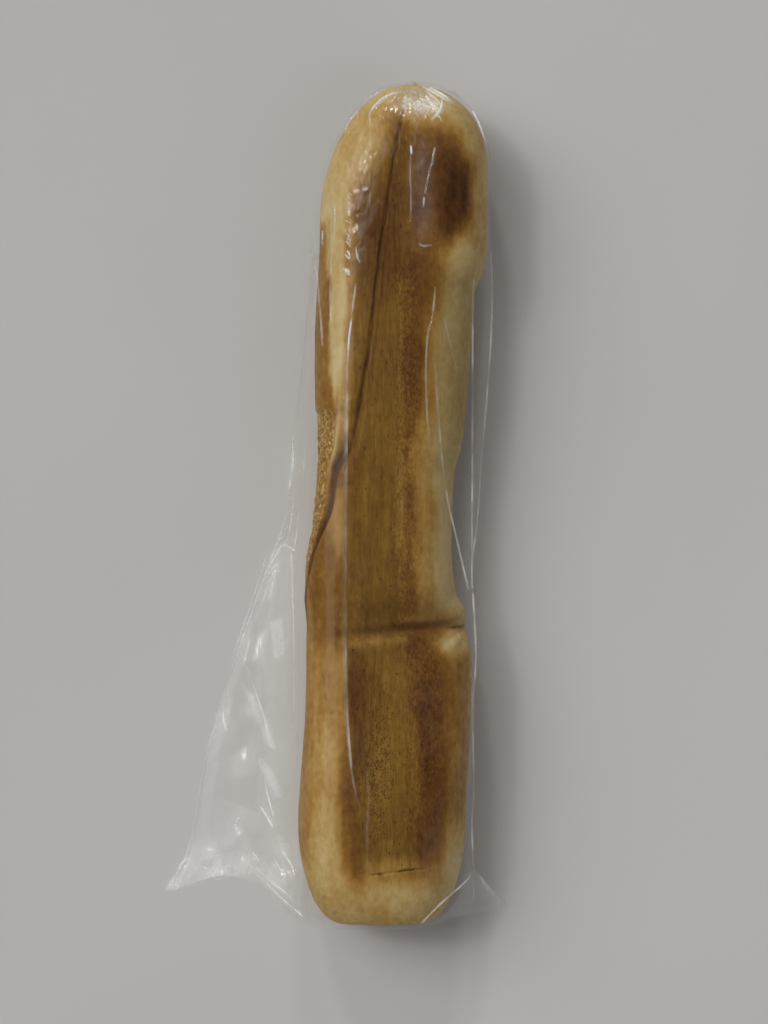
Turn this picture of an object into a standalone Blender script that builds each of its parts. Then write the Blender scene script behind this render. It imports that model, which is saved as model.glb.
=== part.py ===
"""A long soft bread loaf lying on its back, in a loose clear film bag.

The loaf and the bag are two closed solids in one frame. Lengths below are in
millimetres. While they are modelled, y runs from the loaf's foot (0) to its
top end, x runs across it with the loaf's axis near 0, and z is the height
above the surface that the bag lies on. The last step brings the middle of
the whole, seen from above, to the origin.
"""

import bmesh
import bpy
import numpy as np

MM = 0.001

# The loaf: overall sizes
LOAF_LENGTH = 420.8
LOAF_BASE = 1.2
LOAF_MIDDLE = 29.0
BASE_FLAT = 1.6

# How far its two ends are rounded, and what stays flat at each tip
FOOT_CENTRE, FOOT_FLAT_WIDE, FOOT_ROUND_WIDE = -2.2, 21.4, 53.0
FOOT_FLAT_HIGH, FOOT_ROUND_HIGH = 17.0, 24.0
TOP_CENTRE, TOP_FLAT_WIDE, TOP_FLAT_HIGH = 12.0, 4.7, 7.0
TOP_ROUND_LEFT, TOP_ROUND_RIGHT, TOP_ROUND_HIGH = 65.0, 40.0, 42.0
TOP_LEFT_POWER = 1.8

# Its sides as (distance from the foot, x): a waist on the right above the kink
LEFT_SIDE = [
    (50, -44.4), (80, -42.7), (110, -40.7), (150, -39.9), (174, -41.9),
    (205, -37.9), (240, -35.5), (290, -35.9), (350, -33.3),
]
RIGHT_SIDE = [
    (50, 40.0), (90, 42.3), (128, 43.4), (147, 39.7), (155, 39.9), (165, 35.3),
    (190, 33.3), (225, 34.3), (240, 38.0), (290, 42.9), (316, 44.4), (330, 49.5),
    (345, 51.2), (370, 51.5),
]
# Its shown face as (distance from the foot, height): the face sinks to the kink
SHOWN_FACE = [
    (0, 57.0), (60, 58.5), (115, 57.0), (148, 53.0), (178, 55.5), (230, 56.5),
    (300, 58.5), (370, 59.5), (420, 58.0),
]
SHOWN_POWER, SIDE_POWER, HIDDEN_POWER = 3.0, 2.3, 2.5

# The moulding seam, from the top end down to the left side: (y, x, depth, half width)
SEAM = [
    (0, -10.0, 0.0, 2.0), (60, -24.0, 0.0, 2.0), (120, -34.0, 0.0, 2.2),
    (166, -40.6, 1.2, 2.4), (181, -38.9, 2.6, 2.8), (209, -29.3, 4.2, 3.0),
    (225, -26.8, 4.4, 3.2), (238, -19.2, 3.6, 3.0), (257, -13.6, 3.0, 2.4),
    (293, -8.1, 2.0, 2.0), (339, -2.5, 1.8, 2.0), (402, 7.6, 1.6, 2.0),
    (421, 12.0, 0.0, 2.0),
]
LIP_RISE = 1.1
TORN_FROM, TORN_TO, TORN_DEPTH = 160.0, 259.0, 1.5

# The kink: a sharp crease across the face with a raised lip below it
KINK_LEFT, KINK_RIGHT = -20.0, 44.0
KINK_AT_LEFT, KINK_AT_RIGHT = 145.0, 149.5
KINK_DEPTH, KINK_HALF_WIDTH = 3.4, 2.2
KINK_LIP_RISE, KINK_LIP_OFFSET = 0.8, 6.5
KINK_SWALE_DEPTH, KINK_SWALE_OFFSET = 1.2, 9.0
KINK_BEND_OVER = 25.0
BUMP_X, BUMP_Y, BUMP_RISE, BUMP_SIZE = 36.0, 155.0, 1.0, 4.5

# The bag: film standing clear of the loaf, thicker than real film
FILM_GAP, FILM_WALL = 1.3, 0.7
FILM_FOOT_CENTRE, FILM_FOOT_FLAT_WIDE, FILM_FOOT_ROUND_WIDE = -8.5, 29.5, 40.0
# The lines it bridges the loaf's hollows along, before the gap and the wall are added
FILM_LEFT = [
    (50, -44.6), (110, -42.7), (174, -42.5), (212, -39.2), (290, -36.5), (350, -33.5),
]
FILM_RIGHT = [
    (50, 41.8), (142, 43.7), (182, 41.8), (228, 45.4), (263, 48.9), (313, 52.0), (372, 51.7),
]
FILM_OVER = [
    (0, 57.2), (60, 58.9), (148, 57.6), (230, 57.9), (300, 58.9), (370, 59.8), (420, 58.3),
]
# The free wing of film on the left, from its foot corner up to the pinch
WING_EDGE = [
    (12, -114.0), (24, -105.0), (41, -99.0), (82, -92.0), (129, -78.3),
    (175, -61.6), (205, -50.5), (234, -48.5), (280, -44.4), (318, -41.0),
    (336, -39.4), (352, -34.0),
]
WING_END = 352.0
WING_SKEW, WING_SKEW_END = 13.6, 300.0
WING_HEM_RISE, WING_HEM_FADE = 15.0, 40.0
WING_THICK, WING_DRAPE = 1.4, 3.2
WING_FLAT_FROM, WING_FLAT_BY = 4.0, 45.0
# The small ear of film at the foot's right corner
EAR_EDGE = [(5, 61.6), (12, 56.0), (20, 49.5), (28, 44.0), (34, 42.4)]
EAR_SKEW, EAR_SKEW_END, EAR_HEIGHT, EAR_THICK = 8.0, 32.0, 11.0, 1.2
# The gathered mouth at the top end
MOUTH_X, MOUTH_Z, MOUTH_RADIUS = 13.0, 25.0, 4.2

# Mesh fineness
LOAF_LEFT_COLUMNS, LOAF_RIGHT_COLUMNS = 24, 34
BAG_HALF_COLUMNS, WING_COLUMNS, EAR_COLUMNS = 24, 6, 3
WING_ARC_OVER, WING_ARC_UNDER, EAR_ARC = 7.0, 40.0, 9.0
DENSE = 720


def smooth_line(points):
    """Return a function running smoothly, without overshoot, through (place, value) points."""
    places, values = np.array(points, dtype=float).T
    steps = np.diff(values) / np.diff(places)
    product = steps[:-1] * steps[1:]
    total = np.where(product > 0, steps[:-1] + steps[1:], 1.0)
    slopes = np.zeros(len(places))
    slopes[1:-1] = np.where(product > 0, 2 * product / total, 0.0)

    def value_at(place):
        place = np.clip(place, places[0], places[-1])
        k = np.clip(np.searchsorted(places, place) - 1, 0, len(places) - 2)
        span = places[k + 1] - places[k]
        t = (place - places[k]) / span
        rise = values[k + 1] - values[k]
        return (
            values[k]
            + rise * t * t * (3 - 2 * t)
            + span * slopes[k] * t * (1 - t) ** 2
            - span * slopes[k + 1] * t * t * (1 - t)
        )

    return value_at


left_side = smooth_line(LEFT_SIDE)
right_side = smooth_line(RIGHT_SIDE)
shown_face = smooth_line(SHOWN_FACE)
seam_x = smooth_line([(y, x) for y, x, depth, half in SEAM])
seam_depth = smooth_line([(y, depth) for y, x, depth, half in SEAM])
seam_half = smooth_line([(y, half) for y, x, depth, half in SEAM])
film_left = smooth_line(FILM_LEFT)
film_right = smooth_line(FILM_RIGHT)
film_over = smooth_line(FILM_OVER)
wing_edge = smooth_line(WING_EDGE)
ear_edge = smooth_line(EAR_EDGE)


def rounded(distance, radius, power=2.0):
    """Share of the full size reached at a distance from a rounded end."""
    short = 1 - np.clip(distance / radius, 0.0, 1.0)
    return (1 - short**power) ** (1 / power)


def eased(value):
    """Smooth step from 0 to 1."""
    t = np.clip(value, 0.0, 1.0)
    return t * t * (3 - 2 * t)


def hump(distance, size):
    """Bell curve of height 1 with the given half width."""
    return np.exp(-((distance / size) ** 2))


def reach(y, lines, foot):
    """Left, right, lowest and highest reach of a section at y, before its base is flat."""
    left_line, right_line, top_line = lines
    foot_centre, foot_flat_wide, foot_round_wide = foot
    from_top = LOAF_LENGTH - y
    high = top_line(y) - LOAF_MIDDLE
    low = LOAF_MIDDLE - LOAF_BASE + BASE_FLAT
    if y < LOAF_LENGTH / 2:
        left_share = right_share = rounded(y, foot_round_wide)
        tall = rounded(y, FOOT_ROUND_HIGH)
        left_tip, right_tip = foot_centre - foot_flat_wide, foot_centre + foot_flat_wide
        flat = FOOT_FLAT_HIGH
    else:
        left_share = rounded(from_top, TOP_ROUND_LEFT, TOP_LEFT_POWER)
        right_share = rounded(from_top, TOP_ROUND_RIGHT)
        tall = rounded(from_top, TOP_ROUND_HIGH)
        left_tip, right_tip = TOP_CENTRE - TOP_FLAT_WIDE, TOP_CENTRE + TOP_FLAT_WIDE
        flat = TOP_FLAT_HIGH
    return (
        left_tip + left_share * (left_line(y) - left_tip),
        right_tip + right_share * (right_line(y) - right_tip),
        LOAF_MIDDLE - flat - tall * (low - flat),
        LOAF_MIDDLE + flat + tall * (high - flat),
    )


def ellipse_ring(left, right, low, high, floor):
    """Closed dense section from the left point over the top to the right and back under, as (x, z)."""
    turn = np.linspace(np.pi, -np.pi, DENSE + 1)
    upper = turn >= 0
    centre, half = (left + right) / 2, (right - left) / 2
    across, along = np.cos(turn), np.sin(turn)
    power_x = np.where(upper, SHOWN_POWER, HIDDEN_POWER)
    x = centre + half * np.sign(across) * np.abs(across) ** (2 / power_x)
    tall = np.where(upper, high - LOAF_MIDDLE, LOAF_MIDDLE - low)
    z = LOAF_MIDDLE + tall * np.sign(along) * np.abs(along) ** (2 / SIDE_POWER)
    return np.column_stack([x, np.maximum(z, floor)])


def arc_lengths(ring):
    """Distance along a dense section from its first point."""
    steps = np.hypot(*np.diff(ring, axis=0).T)
    return np.concatenate([[0.0], np.cumsum(steps)])


def points_at(ring, lengths, places):
    """Points of a dense section at distances along it."""
    return np.column_stack([np.interp(places, lengths, ring[:, k]) for k in range(2)])


def loaf_columns(y):
    """Section points of the loaf at y, and how far each lies from the seam (right is positive)."""
    foot = (FOOT_CENTRE, FOOT_FLAT_WIDE, FOOT_ROUND_WIDE)
    left, right, low, high = reach(y, (left_side, right_side, shown_face), foot)
    ring = ellipse_ring(left, right, low, high, LOAF_BASE)
    lengths = arc_lengths(ring)
    upper = slice(0, DENSE // 2 + 1)
    wanted = np.clip(seam_x(y), left + 0.3, right - 3.0)
    at_seam = np.interp(wanted, ring[upper, 0], lengths[upper])
    at_under = lengths[DENSE * 3 // 4]
    half = min(seam_half(y), (at_under - at_seam) / LOAF_RIGHT_COLUMNS)
    to_right = at_under - at_seam
    to_left = lengths[-1] - to_right
    near = np.array([0.0, half, 2.2 * half])
    rightward = np.concatenate(
        [near, np.linspace(near[-1], to_right, LOAF_RIGHT_COLUMNS - 1)[1:]]
    )
    leftward = np.concatenate(
        [near[1:], np.linspace(near[-1], to_left, LOAF_LEFT_COLUMNS)[1:-1]]
    )
    offset = np.concatenate([rightward, -leftward[::-1]])
    return points_at(ring, lengths, (at_seam + offset) % lengths[-1]), offset


def loaf_relief(x, y, z, offset):
    """Height of the creases and lips over the smooth loaf, in millimetres."""
    shown = eased((z - LOAF_MIDDLE) / 8.0)
    side = eased((z - 0.55 * LOAF_MIDDLE) / 8.0)
    half, depth = seam_half(y), seam_depth(y)
    relief = -depth * hump(offset, half) * side
    relief += LIP_RISE * depth / 4 * hump(offset - 2.3 * half, 1.4 * half) * shown
    torn = eased((y - TORN_FROM) / 15) * eased((TORN_TO - y) / 5)
    relief -= TORN_DEPTH * torn * eased(-offset / 3) * side
    across = eased((x - KINK_LEFT + 6) / 10) * shown
    past_kink = y - kink_line(x)
    relief -= KINK_DEPTH * hump(past_kink, KINK_HALF_WIDTH) * across
    relief += KINK_LIP_RISE * hump(past_kink + KINK_LIP_OFFSET, 5.0) * across
    relief -= KINK_SWALE_DEPTH * hump(past_kink - KINK_SWALE_OFFSET, 6.0) * across
    relief += BUMP_RISE * hump(np.hypot(x - BUMP_X, y - BUMP_Y), BUMP_SIZE) * shown
    return relief


def kink_line(x):
    """Distance from the foot of the kink's bottom, across the face."""
    return np.interp(x, [KINK_LEFT, KINK_RIGHT], [KINK_AT_LEFT, KINK_AT_RIGHT])


def outward(points):
    """Unit outward directions of a closed section, as (x, z)."""
    tangent = np.roll(points, -1, axis=0) - np.roll(points, 1, axis=0)
    normal = np.column_stack([-tangent[:, 1], tangent[:, 0]])
    return normal / np.maximum(np.hypot(*normal.T), 1e-9)[:, None]


def loaf_stations():
    """Distances from the foot of the loaf's sections, closer at the ends and at the kink."""
    foot = [0, 0.8, 2.5, 5.5, 10, 16, 24, 33, 43]
    middle = list(np.arange(53, 136, 10.0))
    kink = [138, 141.8, 144.2, 145.8, 147.25, 148.7, 150.3, 152.7, 157.0]
    upper = list(np.arange(163, 376, 8.5))
    end = [383, 390, 397, 403.5, 409, 413.5, 417, 419.4, LOAF_LENGTH]
    return foot + middle + kink + upper + end


def loaf_rings():
    """The loaf's sections with their relief, each as rows of (x, y, z)."""
    rings = []
    for y in loaf_stations():
        points, offset = loaf_columns(y)
        kink_middle = (KINK_AT_LEFT + KINK_AT_RIGHT) / 2
        bend = hump(y - kink_middle, KINK_BEND_OVER)
        along = y + bend * (kink_line(points[:, 0]) - kink_middle)
        relief = loaf_relief(points[:, 0], along, points[:, 1], offset)
        fade = eased(min(y, LOAF_LENGTH - y) / 12.0)
        moved = points + outward(points) * (relief * fade)[:, None]
        rings.append(np.column_stack([moved[:, 0], along, moved[:, 1]]))
    return rings


def bag_section(y, grow):
    """Dense section of the film at y, grown from its lines by so many millimetres."""
    inside = (y + grow) * LOAF_LENGTH / (LOAF_LENGTH + 2 * grow)
    foot = (FILM_FOOT_CENTRE, FILM_FOOT_FLAT_WIDE, FILM_FOOT_ROUND_WIDE)
    left, right, low, high = reach(inside, (film_left, film_right, film_over), foot)
    floor = FILM_GAP + FILM_WALL - grow
    return ellipse_ring(left - grow, right + grow, low - grow, high + grow, floor)


def bag_columns(y, grow):
    """Points of the film's section: over the top from the left tip, then back under to it."""
    ring = bag_section(y, grow)
    lengths = arc_lengths(ring)
    right, end = lengths[DENSE // 2], lengths[-1]
    plain = BAG_HALF_COLUMNS - WING_COLUMNS - EAR_COLUMNS
    wing_over = min(WING_ARC_OVER, right / 4)
    flat_share = eased((y - WING_FLAT_FROM) / (WING_FLAT_BY - WING_FLAT_FROM))
    wing_under = wing_over + flat_share * (min(WING_ARC_UNDER, (end - right) / 3) - wing_over)
    ear = min(EAR_ARC, right / 8)
    places = np.concatenate(
        [
            np.linspace(0, wing_over, WING_COLUMNS + 1),
            np.linspace(wing_over, right - ear, plain + 1)[1:],
            np.linspace(right - ear, right + ear, 2 * EAR_COLUMNS + 1)[1:],
            np.linspace(right + ear, end - wing_under, plain + 1)[1:],
            np.linspace(end - wing_under, end, WING_COLUMNS + 1)[1:-1],
        ]
    )
    points = points_at(ring, lengths, places)
    return np.column_stack([points[:, 0], np.full(len(points), y), points[:, 1]])


def outside_body(point):
    """Move a point of the wing out to the film body's left side, or down under it."""
    section = bag_section(point[1], FILM_GAP + FILM_WALL)
    if point[2] >= LOAF_MIDDLE:
        rising = section[: DENSE // 4 + 1]
    else:
        rising = section[DENSE * 3 // 4 :]
    beside = np.interp(point[2], rising[:, 1], rising[:, 0])
    under = section[DENSE * 3 // 4 :][::-1]
    below = np.interp(point[0], under[:, 0], under[:, 1])
    if point[0] <= beside:
        return
    if point[0] - beside < point[2] - below:
        point[0] = beside
    else:
        point[2] = below


def pull_wing(ring, y):
    """Draw the columns at the left tip out into the flat double layer of the wing."""
    tip_y = y + WING_SKEW * np.clip(1 - y / WING_SKEW_END, 0, 1)
    tip_x = wing_edge(tip_y)
    width = (ring[0, 0] - tip_x) * eased((WING_END - y) / 16.0)
    if width <= 0:
        return
    strength = eased(width / 8.0)
    rise = WING_HEM_RISE * np.exp(-(y + 2) / WING_HEM_FADE)
    for side in (1, -1):
        anchor = ring[side * WING_COLUMNS].copy()
        for step in range(1, WING_COLUMNS):
            share = 1 - step / WING_COLUMNS
            height = WING_THICK + (anchor[2] - WING_THICK) * (1 - share) ** WING_DRAPE
            wing = np.array(
                [
                    anchor[0] + share * (tip_x - anchor[0]),
                    y + share * (tip_y - y) + rise * np.sin(np.pi * share) ** 1.5,
                    height if side > 0 else anchor[2] * (1 - share) ** WING_DRAPE,
                ]
            )
            ring[side * step] += strength * (wing - ring[side * step])
            outside_body(ring[side * step])
    tip = np.array([tip_x, tip_y, WING_THICK / 2])
    ring[0] += strength * (tip - ring[0])


def pull_ear(ring, y):
    """Draw the columns at the right tip out into the small ear at the foot."""
    tip_y = y + EAR_SKEW * np.clip(1 - y / EAR_SKEW_END, 0, 1)
    width = ear_edge(tip_y) - ring[BAG_HALF_COLUMNS, 0]
    strength = eased(width / 4.0) * eased((EAR_SKEW_END - y) / 6.0)
    if strength <= 0:
        return
    tip = np.array([ear_edge(tip_y), tip_y, EAR_HEIGHT])
    for side in (1, -1):
        anchor = ring[BAG_HALF_COLUMNS - side * EAR_COLUMNS].copy()
        edge = EAR_HEIGHT + side * EAR_THICK / 2
        for step in range(1, EAR_COLUMNS):
            share = 1 - step / EAR_COLUMNS
            ear = anchor + share * (tip - anchor)
            ear[2] = edge + (anchor[2] - edge) * (1 - share) ** 1.3
            k = BAG_HALF_COLUMNS - side * step
            ring[k] += strength * (ear - ring[k])
    ring[BAG_HALF_COLUMNS] += strength * (tip - ring[BAG_HALF_COLUMNS])


def bag_stations(grow):
    """Distances from the foot of the film's sections, closer at the ends."""
    foot = [-grow, 0.2, 2.5, 6, 11, 17, 25, 35, 47]
    middle = list(np.linspace(60, 345, 17))
    end = [358, 370, 381, 391, 400, 407.5, 413.5, 418, 420.8, LOAF_LENGTH + grow]
    return foot + middle + end


def mouth_ring(y, radius):
    """Small ring of the gathered mouth, its points following the section's order."""
    turn = np.pi - 2 * np.pi * np.arange(2 * BAG_HALF_COLUMNS) / (2 * BAG_HALF_COLUMNS)
    return np.column_stack(
        [
            MOUTH_X + radius * np.cos(turn),
            np.full(len(turn), y),
            MOUTH_Z + radius * np.sin(turn),
        ]
    )


def bag_rings(grow, with_fins):
    """The film's sections from the foot to the mouth; only the outer skin has wing and ear."""
    rings = []
    for y in bag_stations(grow):
        ring = bag_columns(y, grow)
        if with_fins:
            pull_wing(ring, y)
            pull_ear(ring, y)
        rings.append(ring)
    radius = MOUTH_RADIUS - (0 if with_fins else FILM_WALL)
    rings.append(mouth_ring(LOAF_LENGTH + grow + 0.2, radius))
    return rings


def skin(bm, rings, inward=False):
    """Add sections to a mesh, joined by quads, and return their rows of vertices."""
    rows = [[bm.verts.new(point * MM) for point in ring] for ring in rings]
    count = len(rows[0])
    for low, high in zip(rows, rows[1:]):
        for k in range(count):
            n = (k + 1) % count
            face = [low[k], low[n], high[n], high[k]]
            bm.faces.new(face[::-1] if inward else face)
    return rows


def fan(bm, row, towards):
    """Close a row of vertices with triangles to its centre; towards is -1 at the foot, 1 at the top."""
    centre = bm.verts.new(sum((v.co for v in row), row[0].co * 0) / len(row))
    for k, vert in enumerate(row):
        ahead = row[(k + 1) % len(row)]
        corners = [ahead, vert, centre] if towards < 0 else [vert, ahead, centre]
        bm.faces.new(corners)


def ladder(bm, row, inward=False):
    """Close the foot by strips between each upper vertex and the one below it."""
    last = len(row)
    for k in range(BAG_HALF_COLUMNS):
        upper = [row[k], row[k + 1]]
        lower = [row[(last - k - 1) % last], row[(last - k) % last]]
        face = list(dict.fromkeys(upper + lower))
        bm.faces.new(face if inward else face[::-1])


def finish_object(name, bm, material):
    """Turn the mesh into a smooth shaded object of that name."""
    mesh = bpy.data.meshes.new(name)
    bm.normal_update()
    bm.to_mesh(mesh)
    bm.free()
    mesh.shade_smooth()
    mesh.set_sharp_from_angle(angle=np.radians(50))
    mesh.materials.append(material)
    part = bpy.data.objects.new(name, mesh)
    bpy.context.scene.collection.objects.link(part)
    return part


def plain_material(name, colour, roughness, alpha=1.0):
    """Principled material of one colour."""
    material = bpy.data.materials.new(name)
    material.use_nodes = True
    shader = material.node_tree.nodes["Principled BSDF"]
    shader.inputs["Base Color"].default_value = (*colour, 1.0)
    shader.inputs["Roughness"].default_value = roughness
    shader.inputs["Metallic"].default_value = 0.0
    shader.inputs["Alpha"].default_value = alpha
    return material


def build_loaf():
    """The loaf: one solid with its seam, torn lip and kink."""
    bm = bmesh.new()
    rows = skin(bm, loaf_rings())
    fan(bm, rows[0], -1)
    fan(bm, rows[-1], 1)
    return finish_object("loaf", bm, plain_material("baked_crust", (0.46, 0.27, 0.10), 0.6))


def build_bag():
    """The bag: a thin shell round the loaf, open at the gathered mouth, with wing and ear."""
    bm = bmesh.new()
    outer = skin(bm, bag_rings(FILM_GAP + FILM_WALL, with_fins=True))
    inner = skin(bm, bag_rings(FILM_GAP, with_fins=False), inward=True)
    ladder(bm, outer[0])
    ladder(bm, inner[0], inward=True)
    count = len(outer[-1])
    for k in range(count):
        n = (k + 1) % count
        bm.faces.new([outer[-1][k], outer[-1][n], inner[-1][n], inner[-1][k]])
    return finish_object("bag", bm, plain_material("clear_film", (0.9, 0.9, 0.9), 0.1, 0.25))


def centre_on_origin(parts):
    """Bring the middle of the whole, seen from above, to the origin, with its base at zero."""
    corners = np.array([v.co for part in parts for v in part.data.vertices])
    low, high = corners.min(axis=0), corners.max(axis=0)
    shift = -np.array([(low[0] + high[0]) / 2, (low[1] + high[1]) / 2, low[2]])
    for part in parts:
        for vert in part.data.vertices:
            vert.co += type(vert.co)(shift)


def main():
    """Build both pieces in an empty scene."""
    for old in list(bpy.data.objects):
        bpy.data.objects.remove(old, do_unlink=True)
    parts = [build_loaf(), build_bag()]
    centre_on_origin(parts)


main()
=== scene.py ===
"""Dresses a long soft loaf in its clear film bag, lying on a pale studio floor.

Sizes are in millimetres in the loaf's own frame unless a name says otherwise:
y runs from the loaf's foot (0) to its top end, x across it, and z up from the
surface that the bag lies on. FootFrame turns them into metres in the row frame.
"""

import logging
import math
from dataclasses import dataclass, field
from enum import Enum
from functools import lru_cache

import bpy
import numpy as np
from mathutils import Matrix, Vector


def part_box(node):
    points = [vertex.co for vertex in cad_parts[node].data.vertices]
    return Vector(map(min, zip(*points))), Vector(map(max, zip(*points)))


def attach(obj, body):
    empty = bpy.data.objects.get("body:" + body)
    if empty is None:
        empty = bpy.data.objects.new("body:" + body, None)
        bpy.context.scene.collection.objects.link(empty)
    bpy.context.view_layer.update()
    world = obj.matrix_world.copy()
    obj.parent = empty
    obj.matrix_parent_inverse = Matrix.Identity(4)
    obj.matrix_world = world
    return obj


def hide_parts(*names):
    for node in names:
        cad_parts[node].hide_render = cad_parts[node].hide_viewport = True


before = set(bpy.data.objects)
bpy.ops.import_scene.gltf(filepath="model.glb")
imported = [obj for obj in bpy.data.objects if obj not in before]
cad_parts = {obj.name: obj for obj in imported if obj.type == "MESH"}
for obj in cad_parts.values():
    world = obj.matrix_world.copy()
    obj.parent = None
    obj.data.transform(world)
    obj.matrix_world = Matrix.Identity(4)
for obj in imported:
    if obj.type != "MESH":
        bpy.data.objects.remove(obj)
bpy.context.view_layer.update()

logging.basicConfig(level=logging.INFO, format="%(name)s: %(message)s")
LOG = logging.getLogger("bagged_loaf")

MM = 0.001
BODY = "root"
LOAF_MIDDLE = 29.0
LOAF_LENGTH = 420.8
DENSE = 720

Points = tuple[tuple[float, float], ...]
Socket = bpy.types.NodeSocket
Material = bpy.types.Material
Object = bpy.types.Object


class End(Enum):
    """The two ends of a closed skin."""

    FOOT = -1
    TOP = 1


class Layer(Enum):
    """The two layers of film that make a flat fin."""

    OVER = 1
    UNDER = -1


def eased(value: np.ndarray | float) -> np.ndarray:
    """Smooth step from 0 to 1."""
    share = np.clip(value, 0.0, 1.0)
    return share * share * (3 - 2 * share)


def hump(distance: np.ndarray | float, size: float | np.ndarray) -> np.ndarray:
    """Bell curve of height 1 with the given half width."""
    return np.exp(-((distance / size) ** 2))


def rounded(distance: float, radius: float, power: float = 2.0) -> float:
    """Share of the full size reached at a distance from a rounded end."""
    short = 1 - np.clip(distance / radius, 0.0, 1.0)
    return (1 - short**power) ** (1 / power)


def within(value: np.ndarray, low: float, high: float, soft: float) -> np.ndarray:
    """1 between low and high, falling to 0 over the soft distance round each."""
    return eased((value - low) / soft + 0.5) * eased((high - value) / soft + 0.5)


def patch(
    x: np.ndarray, y: np.ndarray, middle: tuple, reach: tuple, power: float = 2.0
) -> np.ndarray:
    """Soft oval patch, 1 at its middle.

    Args:
        x: Places across the loaf.
        y: Places along the loaf.
        middle: The patch's middle, (x, y).
        reach: Its half sizes, (x, y).
        power: 2 fades evenly, more gives a flat middle with a firmer edge.

    Returns:
        Share of the patch at each place.
    """
    far = np.hypot((x - middle[0]) / reach[0], (y - middle[1]) / reach[1])
    return np.exp(-(far**power))


class SmoothLine:
    """A line running smoothly, without overshoot, through (place, value) points."""

    def __init__(self, points: Points) -> None:
        """Work out the slope at each point.

        Args:
            points: Pairs of (place, value), with rising places.
        """
        self.places, self.values = np.array(points, dtype=float).T
        steps = np.diff(self.values) / np.diff(self.places)
        product = steps[:-1] * steps[1:]
        total = np.where(product > 0, steps[:-1] + steps[1:], 1.0)
        self.slopes = np.zeros(len(self.places))
        self.slopes[1:-1] = np.where(product > 0, 2 * product / total, 0.0)

    def __call__(self, place: np.ndarray | float) -> np.ndarray:
        """Value of the line at a place.

        Args:
            place: Where to read it; past its ends the end values hold.

        Returns:
            The value, of the same shape as place.
        """
        place = np.clip(place, self.places[0], self.places[-1])
        k = np.clip(np.searchsorted(self.places, place) - 1, 0, len(self.places) - 2)
        span = self.places[k + 1] - self.places[k]
        t = (place - self.places[k]) / span
        rise = self.values[k + 1] - self.values[k]
        return (
            self.values[k]
            + rise * t * t * (3 - 2 * t)
            + span * self.slopes[k] * t * (1 - t) ** 2
            - span * self.slopes[k + 1] * t * t * (1 - t)
        )


class SoftNoise:
    """Smooth random field in space, between -1 and 1, the same on each run."""

    SIDE = 32

    def __init__(self, seed: int) -> None:
        """Draw the lattice of values.

        Args:
            seed: Fixed seed of the draw.
        """
        self.lattice = np.random.default_rng(seed).uniform(-1, 1, (self.SIDE,) * 3)

    def __call__(self, points: np.ndarray, size: tuple[float, float, float]) -> np.ndarray:
        """Read the field.

        Args:
            points: Array whose last axis is (x, y, z).
            size: Size of one cell of the field along each axis.

        Returns:
            One value for each point.
        """
        scaled = points / np.array(size) + 1000.37
        cell = np.floor(scaled).astype(int)
        share = eased(scaled - cell)
        total = np.zeros(points.shape[:-1])
        for corner in np.ndindex(2, 2, 2):
            at = (cell + np.array(corner)) % self.SIDE
            weight = np.prod(np.where(corner, share, 1 - share), axis=-1)
            total += weight * self.lattice[at[..., 0], at[..., 1], at[..., 2]]
        return total


class Crumple:
    """Flat facets meeting in sharp folds, as in handled film."""

    def __init__(self, seed: int, folds: int, size: float, spread: float) -> None:
        """Draw the folds.

        Args:
            seed: Fixed seed of the draw.
            folds: How many sets of folds cross each other.
            size: Usual distance between the folds of a set.
            spread: How far the folds turn away from the bag's length, in radians.
        """
        draw = np.random.default_rng(seed)
        self.angles = draw.uniform(-spread, spread, folds)
        self.phases = draw.uniform(0, 1, folds)
        self.sizes = size * draw.uniform(0.6, 1.7, folds)
        self.bend = SoftNoise(seed + 1)

    def __call__(self, points: np.ndarray) -> np.ndarray:
        """Height of the facets.

        Args:
            points: Array whose last axis is (x, y, z).

        Returns:
            Heights between 0 and 1.
        """
        x, y = points[..., 0], points[..., 1]
        bend = self.bend(points, (45.0, 60.0, 45.0))
        total = np.zeros(x.shape)
        for angle, phase, size in zip(self.angles, self.phases, self.sizes):
            wave = (x * math.cos(angle) + y * math.sin(angle)) / size + phase + 0.5 * bend
            total += np.abs(wave % 1.0 - 0.5) * 2
        return total / len(self.sizes)


def along_path(x: np.ndarray, y: np.ndarray, path: Points) -> np.ndarray:
    """Distance of each place from a path of straight steps.

    Args:
        x: Places across the loaf.
        y: Places along the loaf.
        path: The path's (x, y) points.

    Returns:
        The distances, seen from above.
    """
    near = np.full(np.shape(x), 1e6)
    for (ax, ay), (bx, by) in zip(path, path[1:]):
        dx, dy = bx - ax, by - ay
        t = np.clip(((x - ax) * dx + (y - ay) * dy) / (dx * dx + dy * dy), 0, 1)
        near = np.minimum(near, np.hypot(x - ax - t * dx, y - ay - t * dy))
    return near


def inside_of(x: np.ndarray, y: np.ndarray, corners: Points, soft: float) -> np.ndarray:
    """Share by which places lie inside a flat shape with straight sides and no hollows.

    Args:
        x: Places across the loaf.
        y: Places along the loaf.
        corners: Its corners, clockwise.
        soft: Width of its soft rim.

    Returns:
        1 inside, 0 outside.
    """
    share = np.ones(np.shape(x))
    for (ax, ay), (bx, by) in zip(corners, corners[1:] + corners[:1]):
        size = math.hypot(bx - ax, by - ay)
        within_side = ((x - ax) * (by - ay) - (y - ay) * (bx - ax)) / size
        share = share * eased(within_side / soft + 0.5)
    return share


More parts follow.
